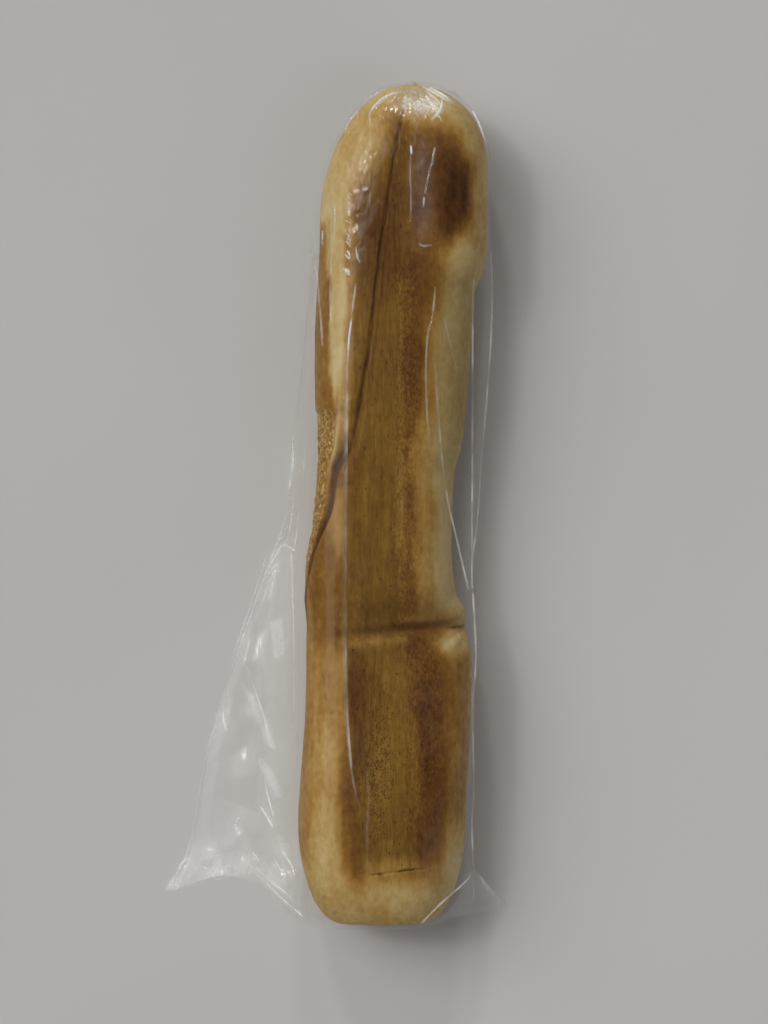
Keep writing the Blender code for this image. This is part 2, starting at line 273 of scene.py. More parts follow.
@dataclass(frozen=True)
class FootFrame:
    """Where the loaf's own millimetre frame lies in the row frame, in metres."""

    shift_x: float
    shift_y: float

    @classmethod
    def from_model(cls, wing_tip: float) -> "FootFrame":
        """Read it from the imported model: the wing's tip and the loaf's foot.

        Args:
            wing_tip: The wing tip's x in the loaf's own frame.

        Returns:
            The frame.
        """
        return cls(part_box("bag")[0].x - wing_tip * MM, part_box("loaf")[0].y)

    def metres(self, points: np.ndarray) -> np.ndarray:
        """Points of the loaf's own frame in metres in the row frame."""
        return points * MM + np.array([self.shift_x, self.shift_y, 0.0])


def arc_lengths(ring: np.ndarray) -> np.ndarray:
    """Distance along a row of points from its first one."""
    steps = np.linalg.norm(np.diff(ring, axis=0), axis=1)
    return np.concatenate([[0.0], np.cumsum(steps)])


def points_at(ring: np.ndarray, lengths: np.ndarray, places: np.ndarray) -> np.ndarray:
    """Points of a dense row at distances along it."""
    return np.column_stack([np.interp(places, lengths, ring[:, k]) for k in range(ring.shape[1])])


def skin_normals(rings: np.ndarray) -> np.ndarray:
    """Outward directions of a skin of closed sections.

    Args:
        rings: Array of (station, column, xyz), its columns closed on themselves.

    Returns:
        Unit directions, of the same shape.
    """
    across = np.roll(rings, -1, axis=1) - np.roll(rings, 1, axis=1)
    along = np.gradient(rings, axis=0)
    normal = np.cross(across, along)
    return normal / np.maximum(np.linalg.norm(normal, axis=2, keepdims=True), 1e-9)


def skin_faces(stations: int, columns: int) -> list[tuple[int, ...]]:
    """Quads between neighbouring closed sections, facing outwards.

    Args:
        stations: How many sections there are.
        columns: How many vertices each section has.

    Returns:
        The quads.
    """
    grid = np.arange(stations * columns).reshape(stations, columns)
    ahead = np.roll(grid, -1, axis=1)
    quads = np.stack([grid[:-1], ahead[:-1], ahead[1:], grid[1:]], axis=-1)
    return [tuple(q) for q in quads.reshape(-1, 4).tolist()]


def fan_faces(first: int, columns: int, centre: int, end: End) -> list[tuple[int, ...]]:
    """Triangles that close a section to a centre point.

    Args:
        first: Number of the section's first vertex.
        columns: How many vertices it has.
        centre: Number of the centre vertex.
        end: Which end it closes.

    Returns:
        The triangles, facing outwards.
    """
    faces = []
    for k in range(columns):
        here, ahead = first + k, first + (k + 1) % columns
        faces.append((ahead, here, centre) if end is End.FOOT else (here, ahead, centre))
    return faces


def closed_mesh(name: str, rings: np.ndarray, place: FootFrame) -> bpy.types.Mesh:
    """A mesh of closed sections, shut to a centre point at both ends.

    Args:
        name: The mesh's name.
        rings: Array of (station, column, xyz), in millimetres.
        place: Where the loaf's frame lies.

    Returns:
        The mesh in metres. Its last two vertices are the centre points.
    """
    stations, columns = rings.shape[:2]
    last = stations * columns
    faces = skin_faces(stations, columns)
    faces += fan_faces(0, columns, last, End.FOOT)
    faces += fan_faces(last - columns, columns, last + 1, End.TOP)
    centres = [rings[0].mean(axis=0), rings[-1].mean(axis=0)]
    vertices = np.concatenate([rings.reshape(-1, 3), centres])
    mesh = bpy.data.meshes.new(name)
    mesh.from_pydata(place.metres(vertices).tolist(), [], faces)
    return mesh


def keep_values(mesh: bpy.types.Mesh, name: str, values: np.ndarray) -> None:
    """Keep one number for each vertex of a mesh, for its material to read."""
    store = mesh.attributes.new(name, "FLOAT", "POINT")
    store.data.foreach_set("value", np.asarray(values, dtype=np.float32))


def make_piece(name: str, mesh: bpy.types.Mesh, material: Material) -> Object:
    """Make a finished piece from a mesh in the row frame and let it ride on the object.

    Args:
        name: The piece's name.
        mesh: Its mesh, in metres.
        material: Its finish.

    Returns:
        The piece.
    """
    mesh.name = name
    mesh.materials.clear()
    mesh.materials.append(material)
    mesh.shade_smooth()
    piece = bpy.data.objects.new(name, mesh)
    bpy.context.scene.collection.objects.link(piece)
    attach(piece, BODY)
    LOG.info("%s: %d faces", name, len(mesh.polygons))
    return piece


def make_film(
    name: str, mesh: bpy.types.Mesh, material: Material, milk_and_sheen: np.ndarray, crinkled: np.ndarray
) -> Object:
    """Make a finished piece of film, which lets light through to what lies under it.

    Args:
        name: The piece's name.
        mesh: Its mesh, in metres.
        material: The film's material.
        milk_and_sheen: How hazy each vertex is, with its painted glints and reflection veils.
        crinkled: How strongly each vertex is crinkled.

    Returns:
        The piece.
    """
    keep_values(mesh, "milk_and_sheen", milk_and_sheen)
    keep_values(mesh, "crinkled", crinkled)
    piece = make_piece(name, mesh, material)
    piece.visible_shadow = False
    return piece


class NodeSheet:
    """A material's node tree, with short ways to add and link nodes."""

    prefix = "ShaderNode"

    def __init__(self, name: str) -> None:
        """Start an empty material.

        Args:
            name: The material's name.
        """
        self.material = bpy.data.materials.new(name)
        self.material.use_nodes = True
        self.tree = self.material.node_tree
        self.tree.nodes.clear()

    def add(self, kind: str, inputs: dict | None = None, **settings: object) -> bpy.types.Node:
        """Add a node.

        Args:
            kind: The node's type, without the sheet's prefix.
            inputs: Socket name or number to a value, or to a socket to link from.
            settings: Attributes of the node.

        Returns:
            The node.
        """
        node = self.tree.nodes.new(self.prefix + kind)
        for key, value in settings.items():
            setattr(node, key, value)
        for key, value in (inputs or {}).items():
            if isinstance(value, bpy.types.NodeSocket):
                self.tree.links.new(value, node.inputs[key])
            else:
                node.inputs[key].default_value = value
        return node

    def maths(self, operation: str, first: object, second: object, clamp: bool = False) -> Socket:
        """A sum of two numbers or sockets."""
        node = self.add("Math", {0: first, 1: second}, operation=operation, use_clamp=clamp)
        return node.outputs[0]

    def times(self, first: object, second: object) -> Socket:
        """Two numbers or sockets multiplied."""
        return self.maths("MULTIPLY", first, second)

    def plus(self, first: object, second: object, clamp: bool = False) -> Socket:
        """Two numbers or sockets added."""
        return self.maths("ADD", first, second, clamp)

    def minus(self, first: object, second: object) -> Socket:
        """The first number or socket less the second."""
        return self.maths("SUBTRACT", first, second)

    def remap(
        self, value: object, low: float, high: float, to_low: float = 0.0, to_high: float = 1.0
    ) -> Socket:
        """A socket stretched smoothly from one range to another.

        Args:
            value: The number or socket to stretch.
            low: Start of its range.
            high: End of its range.
            to_low: What the start becomes.
            to_high: What the end becomes.

        Returns:
            The stretched value.
        """
        node = self.add(
            "MapRange",
            {
                "Value": value,
                "From Min": low,
                "From Max": high,
                "To Min": to_low,
                "To Max": to_high,
            },
            interpolation_type="SMOOTHSTEP",
        )
        return node.outputs["Result"]

    def attribute(self, name: str) -> Socket:
        """One of the piece's own attributes, as a number."""
        return self.add("Attribute", attribute_name=name).outputs["Fac"]

    def noise(
        self, scale: tuple[float, float, float], detail: float = 3.0, rough: float = 0.55
    ) -> Socket:
        """Noise on the object's own coordinates.

        Args:
            scale: Cells to the metre along each axis.
            detail: How many finer layers it has.
            rough: How strong they are.

        Returns:
            The noise's value, around 0.5.
        """
        place = self.add("TexCoord").outputs["Object"]
        scaled = self.add("Mapping", {"Vector": place, "Scale": scale}).outputs["Vector"]
        node = self.add(
            "TexNoise", {"Vector": scaled, "Scale": 1.0, "Detail": detail, "Roughness": rough}
        )
        return node.outputs["Fac"]

    def ramp(self, value: Socket, stops: tuple) -> Socket:
        """A colour ramp.

        Args:
            value: What it follows.
            stops: (place, (red, green, blue)) from first to last.

        Returns:
            The ramp's colour.
        """
        node = self.add("ValToRGB", {"Fac": value})
        points = node.color_ramp.elements
        while len(points) < len(stops):
            points.new(0.5)
        for point, (place, colour) in zip(points, stops):
            point.position = place
            point.color = (*colour, 1.0)
        return node.outputs["Color"]

    def tint(self, share: object, under: object, over: object, blend: str = "MIX") -> Socket:
        """Mix two colours.

        Args:
            share: How much of the second shows.
            under: First colour or socket.
            over: Second colour or socket.
            blend: How they mix.

        Returns:
            The mixed colour.
        """
        node = self.add("Mix", data_type="RGBA", blend_type=blend)
        for index, value in ((0, share), (6, under), (7, over)):
            if isinstance(value, bpy.types.NodeSocket):
                self.tree.links.new(value, node.inputs[index])
            elif index:
                node.inputs[index].default_value = (*value, 1.0)
            else:
                node.inputs[index].default_value = value
        return node.outputs[2]

    def bump(self, height: Socket, strength: object, metres: float) -> Socket:
        """The surface direction with a fine relief on it."""
        bump = self.add("Bump", {"Strength": strength, "Distance": metres, "Height": height})
        return bump.outputs["Normal"]

    def matt(self, colour: Socket, rough: object, normal: Socket, shine: float) -> Material:
        """The material of a solid, hardly shining surface.

        Args:
            colour: Its colour.
            rough: Its roughness.
            normal: Its surface direction.
            shine: How strongly it mirrors, 0.5 being the usual.

        Returns:
            The material.
        """
        looks = {"Base Color": colour, "Roughness": rough, "Normal": normal}
        shader = self.add("BsdfPrincipled", looks | {"Specular IOR Level": shine})
        return self.finish(shader.outputs[0])

    def finish(self, shader: Socket) -> Material:
        """Link the shader to the material's surface and return the material.

        Args:
            shader: The shader's output.

        Returns:
            The material.
        """
        output = self.add("OutputMaterial")
        self.tree.links.new(shader, output.inputs["Surface"])
        return self.material


class GroupSheet(NodeSheet):
    """A geometry node group with named inputs, with the same short ways to add nodes."""

    prefix = ""

    def __init__(self, name: str, inputs: dict[str, str], result: str) -> None:
        """Start a group that makes one geometry of its inputs.

        Args:
            name: The group's name.
            inputs: Each input's name, and its kind: "Geometry", "Float" or "Int".
            result: The name of what it makes.
        """
        self.tree = bpy.data.node_groups.new(name, "GeometryNodeTree")
        new_socket = self.tree.interface.new_socket
        for title, kind in inputs.items():
            new_socket(title, in_out="INPUT", socket_type="NodeSocket" + kind)
        new_socket(result, in_out="OUTPUT", socket_type="NodeSocketGeometry")
        self.given = self.add("NodeGroupInput").outputs

    def dressed(self, geometry: Socket, finish: Material) -> bpy.types.NodeTree:
        """Give the geometry its material, hand it on and return the group.

        Args:
            geometry: The geometry that the group makes.
            finish: Its material.

        Returns:
            The group.
        """
        dress = self.add("GeometryNodeSetMaterial", {"Geometry": geometry, "Material": finish})
        self.add("NodeGroupOutput", {0: dress.outputs["Geometry"]})
        return self.tree


@dataclass(frozen=True)
class CrustFinish:
    """Baked crust: cream dough, gold and brown by how far each place is baked."""

    cream: tuple = (0.67, 0.53, 0.27)
    straw: tuple = (0.56, 0.39, 0.145)
    gold: tuple = (0.44, 0.245, 0.058)
    toast: tuple = (0.275, 0.132, 0.022)
    brown: tuple = (0.150, 0.058, 0.011)
    scorched: tuple = (0.055, 0.016, 0.0025)
    # Painted shade inside the pores.
    pore_shade: tuple = (0.098, 0.041, 0.0055)
    dull_tint: tuple = (0.94, 1.02, 0.90)
    # Painted shade: dims the right side, which faces away from the lamps.
    painted_shade_tint: tuple = (0.71, 0.685, 0.62)
    roughness: float = 0.50
    mottle_share: float = 0.18
    streak_share: float = 0.26
    speckle_share: float = 0.62
    grain_share: float = 0.16
    pore_cells: float = 1150.0
    pinhole_cells: float = 330.0
    bump_metres: float = 0.0007

    def level(self, sheet: NodeSheet, matte: Socket, fine: Socket) -> Socket:
        """How far each place is baked, with its mottling, streaks and grain.

        Args:
            sheet: The material's sheet.
            matte: Share of dull, grained crust.
            fine: Fine noise.

        Returns:
            The level from 0 (cream) to 1 (scorched).
        """
        total = sheet.attribute("baked")
        parts = (
            (sheet.noise((55, 38, 55), 2.0, 0.6), 2 * self.mottle_share, (1.0, 0.55)),
            (sheet.noise((280, 13, 280), 3.0, 0.7), self.streak_share, (0.7, 1.0)),
            (fine, 2.2 * self.mottle_share, (1.0, 0.6)),
            (sheet.noise((1000, 110, 1000), 2.0, 0.7), self.grain_share, (0.3, 1.9)),
        )
        for noise, share, (bright, dull) in parts:
            part = sheet.times(sheet.minus(noise, 0.5), share)
            part = sheet.times(part, sheet.remap(matte, 0.0, 1.0, bright, dull))
            total = sheet.plus(total, part)
        speckle = sheet.minus(sheet.noise((950, 520, 950), 2.0, 0.7), 0.5)
        speckle = sheet.times(speckle, self.speckle_share)
        speckle = sheet.times(speckle, sheet.attribute("speckle_and_glint"))
        return sheet.plus(total, speckle, clamp=True)

    def holes(self, sheet: NodeSheet, cells: float, size: Socket, soft: float) -> Socket:
        """Small round holes, a little longer than wide.

        Args:
            sheet: The material's sheet.
            cells: Cells to the metre.
            size: Radius of the holes, as a share of a cell.
            soft: Width of their rim, as a share of a cell.

        Returns:
            1 inside a hole and 0 outside.
        """
        place = sheet.add("TexCoord").outputs["Object"]
        warp = sheet.add("TexNoise", {"Vector": place, "Scale": cells * 0.6, "Detail": 1.0})
        moved = sheet.tint(0.0016, place, (0.5, 0.5, 0.5), "ADD")
        sheet.tree.links.new(warp.outputs["Color"], moved.node.inputs[7])
        longer = sheet.add("Mapping", {"Vector": moved, "Scale": (1.0, 0.62, 1.0)})
        cell = sheet.add(
            "TexVoronoi",
            {"Vector": longer.outputs["Vector"], "Scale": cells, "Randomness": 1.0},
            feature="F1",
        )
        return sheet.remap(sheet.minus(size, cell.outputs["Distance"]), 0.0, soft)

    def build(self) -> Material:
        """Build the crust's material.

        Returns:
            The material, which reads the loaf's own attributes.
        """
        sheet = NodeSheet("baked_crust")
        matte, pored = sheet.attribute("matte"), sheet.attribute("pored")
        fine = sheet.noise((330, 240, 330), 3.0, 0.65)
        stops = (
            (0.0, self.cream), (0.2, self.straw), (0.4, self.gold),
            (0.6, self.toast), (0.8, self.brown), (1.0, self.scorched),
        )
        colour = sheet.ramp(self.level(sheet, matte, fine), stops)
        colour = sheet.tint(matte, colour, sheet.tint(1.0, colour, self.dull_tint, "MULTIPLY"))
        # Painted shade on the right side, which faces away from the lamps.
        painted_right_shade = sheet.tint(1.0, colour, self.painted_shade_tint, "MULTIPLY")
        colour = sheet.tint(sheet.attribute("painted_right_shade"), colour, painted_right_shade)
        patchy = sheet.noise((170, 90, 170), 2.0)
        wide = sheet.times(pored, sheet.remap(patchy, 0.3, 0.7, 0.30, 0.52))
        uneven = sheet.times(sheet.minus(fine, 0.5), 0.30)
        wide = sheet.plus(wide, uneven)
        # Dark pores and pinholes: painted shade in the small holes, which also sink in the bump.
        pore = self.holes(sheet, self.pore_cells, wide, 0.10)
        colour = sheet.tint(sheet.times(pore, 0.78), colour, self.pore_shade)
        sparse = sheet.noise((420, 260, 420), 1.0)
        small = sheet.times(
            sheet.remap(matte, 0.0, 1.0, 0.25, 1.0), sheet.remap(sparse, 0.42, 0.66, -0.04, 0.22)
        )
        pinhole = self.holes(sheet, self.pinhole_cells, small, 0.06)
        colour = sheet.tint(sheet.times(pinhole, 0.6), colour, self.scorched)
        hair = sheet.maths("ABSOLUTE", sheet.minus(sheet.noise((420, 14, 420), 2.0), 0.5), 0.0)
        hair = sheet.times(sheet.remap(hair, 0.0, 0.022, 0.20, 0.0), matte)
        colour = sheet.tint(hair, colour, self.scorched)
        # Painted glints: small straw dots on the speckled band.
        glint_share = sheet.times(sheet.attribute("speckle_and_glint"), sheet.remap(patchy, 0.42, 0.66, -0.05, 0.34))
        painted_glint = self.holes(sheet, 1300.0, glint_share, 0.10)
        colour = sheet.tint(sheet.times(painted_glint, 0.22), colour, self.straw)
        # Painted shade in the seam, the kink, the crack, the small creases and a few small holes.
        colour = sheet.tint(sheet.attribute("painted_crease_shade"), colour, self.scorched)
        lift = sheet.times(sheet.attribute("torn"), 0.8)
        crumb = sheet.noise((620, 480, 620), 3.0, 0.65)
        stops = ((0.34, self.brown), (0.44, self.toast), (0.53, self.gold), (0.66, self.cream))
        colour = sheet.tint(lift, colour, sheet.ramp(crumb, stops))
        height = sheet.times(fine, 0.45)
        grain = sheet.noise((900, 60, 900), 2.0, 0.6)
        height = sheet.plus(height, sheet.times(grain, 0.35))
        height = sheet.minus(height, sheet.times(pore, 0.6))
        height = sheet.minus(height, sheet.times(pinhole, 0.6))
        rough = sheet.remap(fine, 0.3, 0.7, self.roughness - 0.07, self.roughness + 0.12)
        return sheet.matt(colour, rough, sheet.bump(height, 0.6, self.bump_metres), 0.08)


@dataclass(frozen=True)
class FilmFinish:
    """Thin clear film: see-through, glossy, hazy along its creases and where seen edge on, near
    white at its painted glints.
    """

    name: str = "clear_film"
    clear: tuple = (0.995, 0.995, 0.99)
    # White of the film's haze, also of its painted glints and reflection veils.
    milk: tuple = (0.90, 0.90, 0.915)
    gloss_roughness: float = 0.10
    refraction: float = 1.34
    most_mirror: float = 0.115
    haze_edge_on: float = 0.055
    wrinkle_metres: float = 0.0004
    crinkle_metres: float = 0.0011

    def crinkles(self, sheet: NodeSheet) -> Socket:
        """Surface direction of the film, with soft wrinkles and sharp small facets.

        Args:
            sheet: The material's sheet.

        Returns:
            The direction.
        """
        wrinkles = sheet.noise((190, 40, 190), 2.0, 0.55)
        soft = sheet.bump(wrinkles, 0.5, self.wrinkle_metres)
        place = sheet.add("TexCoord").outputs["Object"]
        bent = sheet.add("TexNoise", {"Vector": place, "Scale": 90.0, "Detail": 2.0})
        moved = sheet.tint(0.006, place, (0.0, 0.0, 0.0), "ADD")
        sheet.tree.links.new(bent.outputs["Color"], moved.node.inputs[7])
        height = 0.0
        for cells, share in (((130, 75, 130), 0.65), ((290, 170, 290), 0.35)):
            scaled = sheet.add("Mapping", {"Vector": moved, "Scale": cells})
            facet = sheet.add(
                "TexVoronoi", {"Vector": scaled.outputs["Vector"], "Scale": 1.0}, feature="F1"
            )
            height = sheet.plus(height, sheet.times(facet.outputs["Distance"], share))
        return sheet.add(
            "Bump",
            {
                "Strength": sheet.attribute("crinkled"),
                "Distance": self.crinkle_metres,
                "Height": height,
                "Normal": soft,
            },
        ).outputs["Normal"]

    def build(self) -> Material:
        """Build the film's material.

        Returns:
            The material, which reads how hazy and how crinkled each place of the film is, with the
            painted glints and reflection veils in its haze.
        """
        sheet = NodeSheet(self.name)
        bump = self.crinkles(sheet)
        clear = sheet.add("BsdfTransparent", {"Color": (*self.clear, 1.0)})
        gloss = sheet.add(
            "BsdfGlossy",
            {"Color": (1.0, 1.0, 1.0, 1.0), "Roughness": self.gloss_roughness, "Normal": bump},
        )
        milk = sheet.add("BsdfDiffuse", {"Color": (*self.milk, 1.0)})
        mirror = sheet.add("Fresnel", {"IOR": self.refraction, "Normal": bump}).outputs[0]
        mirror = sheet.maths("MINIMUM", mirror, self.most_mirror)
        pane = sheet.add("MixShader", {0: mirror, 1: clear.outputs[0], 2: gloss.outputs[0]})
        facing = sheet.add("LayerWeight", {"Blend": 0.3}).outputs["Facing"]
        cloudy = sheet.noise((70, 36, 70), 2.0)
        place = sheet.add("TexCoord").outputs["Object"]
        turned = sheet.add(
            "Mapping", {"Vector": place, "Rotation": (0.0, 0.0, 0.45), "Scale": (42, 21, 10)}
        )
        facet = sheet.add(
            "TexVoronoi", {"Vector": turned.outputs["Vector"], "Scale": 1.0}, feature="F1"
        )
        pane_share = sheet.remap(facet.outputs["Color"], 0.0, 1.0, 0.25, 1.8)
        edge = sheet.remap(facing, 0.45, 1.0, 0.0, self.haze_edge_on)
        haze_and_sheen = sheet.times(sheet.attribute("milk_and_sheen"), sheet.remap(cloudy, 0.3, 0.7, 0.6, 1.4))
        haze_and_sheen = sheet.times(haze_and_sheen, pane_share)
        # Near the top of the share, at the painted glints, the film turns nearly white.
        folded = sheet.maths("POWER", sheet.attribute("milk_and_sheen"), 6.0)
        haze_and_sheen = sheet.maths("MAXIMUM", haze_and_sheen, sheet.times(folded, 0.85))
        haze = sheet.plus(edge, haze_and_sheen, clamp=True)
        shader = sheet.add("MixShader", {0: haze, 1: pane.outputs[0], 2: milk.outputs[0]})
        return sheet.finish(shader.outputs[0])


@dataclass(frozen=True)
class CrumbFinish:
    """Crumb torn open under the crust, pale straw with browner bits."""

    pale: tuple = (0.56, 0.41, 0.19)
    deep: tuple = (0.36, 0.22, 0.07)

    def build(self) -> Material:
        """Build the crumb's material.

        Returns:
            The material.
        """
        sheet = NodeSheet("torn_crumb")
        bits = sheet.noise((420, 420, 420), 3.0)
        pits = sheet.noise((1800, 1800, 1800), 2.0)
        colour = sheet.ramp(bits, ((0.35, self.deep), (0.62, self.pale)))
        rough = sheet.remap(pits, 0.3, 0.7, 0.7, 0.9)
        return sheet.matt(colour, rough, sheet.bump(pits, 0.5, 0.0003), 0.15)


@dataclass(frozen=True)
class FloorFinish:
    """Matt pale studio floor with a faint fine tooth."""

    pale: tuple = (0.655, 0.655, 0.65)
    paler: tuple = (0.685, 0.685, 0.68)

    def build(self) -> Material:
        """Build the floor's material.

        Returns:
            The material.
        """
        sheet = NodeSheet("pale_floor")
        soft = sheet.noise((3.0, 3.0, 3.0), 3.0)
        tooth = sheet.noise((900, 900, 900), 2.0)
        colour = sheet.ramp(soft, ((0.35, self.pale), (0.65, self.paler)))
        return sheet.matt(colour, 0.75, sheet.bump(tooth, 0.15, 0.0002), 0.5)


@dataclass
class LoafForm:
    """The loaf's own form: a long soft stick with a moulding seam and a kink."""

    base: float = 1.2
    base_flat: float = 1.6
    foot: tuple = (-2.2, 21.4, 53.0)
    foot_high: tuple = (17.0, 24.0)
    top_centre: float = 12.0
    top_flat_wide: float = 4.7
    top_flat_high: float = 7.0
    top_round: tuple = (65.0, 40.0, 42.0)
    top_left_power: float = 1.8
    shown_power: float = 3.0
    side_power: float = 2.3
    hidden_power: float = 2.5
    left_points: Points = (
        (50, -44.4), (80, -42.7), (110, -40.7), (150, -39.9), (174, -41.9),
        (205, -37.9), (240, -35.5), (290, -35.9), (350, -33.3),
    )
    right_points: Points = (
        (50, 40.0), (90, 42.3), (128, 43.4), (147, 39.7), (155, 39.9), (165, 35.3),
        (190, 33.3), (225, 34.3), (240, 38.0), (290, 42.9), (316, 44.4), (330, 49.5),
        (345, 51.2), (370, 51.5),
    )
    face_points: Points = (
        (0, 57.0), (60, 58.5), (115, 57.0), (148, 53.0), (178, 55.5), (230, 56.5),
        (300, 58.5), (370, 59.5), (420, 58.0),
    )

    def __post_init__(self) -> None:
        """Make the smooth lines along its sides and face."""
        self.lines = tuple(
            SmoothLine(points) for points in (self.left_points, self.right_points, self.face_points)
        )

    def reach(self, y: float, lines: tuple, foot: tuple) -> tuple[float, float, float, float]:
        """How far a section reaches before its base is flat.

        Args:
            y: Distance from the foot.
            lines: Left, right and top line.
            foot: The foot's centre, flat half width and rounding.

        Returns:
            Left, right, lowest and highest reach.
        """
        left_line, right_line, top_line = lines
        foot_centre, foot_flat, foot_round = foot
        from_top = LOAF_LENGTH - y
        high = top_line(y) - LOAF_MIDDLE
        low = LOAF_MIDDLE - self.base + self.base_flat
        if y < LOAF_LENGTH / 2:
            left_share = right_share = rounded(y, foot_round)
            tall = rounded(y, self.foot_high[1])
            left_tip, right_tip = foot_centre - foot_flat, foot_centre + foot_flat
            flat = self.foot_high[0]
        else:
            left_share = rounded(from_top, self.top_round[0], self.top_left_power)
            right_share = rounded(from_top, self.top_round[1])
            tall = rounded(from_top, self.top_round[2])
            left_tip = self.top_centre - self.top_flat_wide
            right_tip = self.top_centre + self.top_flat_wide
            flat = self.top_flat_high
        return (
            left_tip + left_share * (left_line(y) - left_tip),
            right_tip + right_share * (right_line(y) - right_tip),
            LOAF_MIDDLE - flat - tall * (low - flat),
            LOAF_MIDDLE + flat + tall * (high - flat),
        )

    def section(
        self, left: float, right: float, low: float, high: float, floor: float
    ) -> np.ndarray:
        """Closed dense section from its left point over the top to the right and back under.

        Args:
            left: Left reach.
            right: Right reach.
            low: Lowest reach.
            high: Highest reach.
            floor: Height at which its base is cut flat.

        Returns:
            Rows of (x, z).
        """
        turn = np.linspace(np.pi, -np.pi, DENSE + 1)
        upper = turn >= 0
        centre, half = (left + right) / 2, (right - left) / 2
        across, rising = np.cos(turn), np.sin(turn)
        power_x = np.where(upper, self.shown_power, self.hidden_power)
        x = centre + half * np.sign(across) * np.abs(across) ** (2 / power_x)
        tall = np.where(upper, high - LOAF_MIDDLE, LOAF_MIDDLE - low)
        z = LOAF_MIDDLE + tall * np.sign(rising) * np.abs(rising) ** (2 / self.side_power)
        return np.column_stack([x, np.maximum(z, floor)])


@dataclass(frozen=True)
class LoafPlaces:
    """Where the loaf's points lie: x and y, and their ragged copies sx and sy.

    The rest are the shares by which they belong to the shown side, to the dark centre band
    and to what is right of it.
    """

    x: np.ndarray
    y: np.ndarray
    sx: np.ndarray
    sy: np.ndarray
    shown: np.ndarray
    centre: np.ndarray
    right_of: np.ndarray


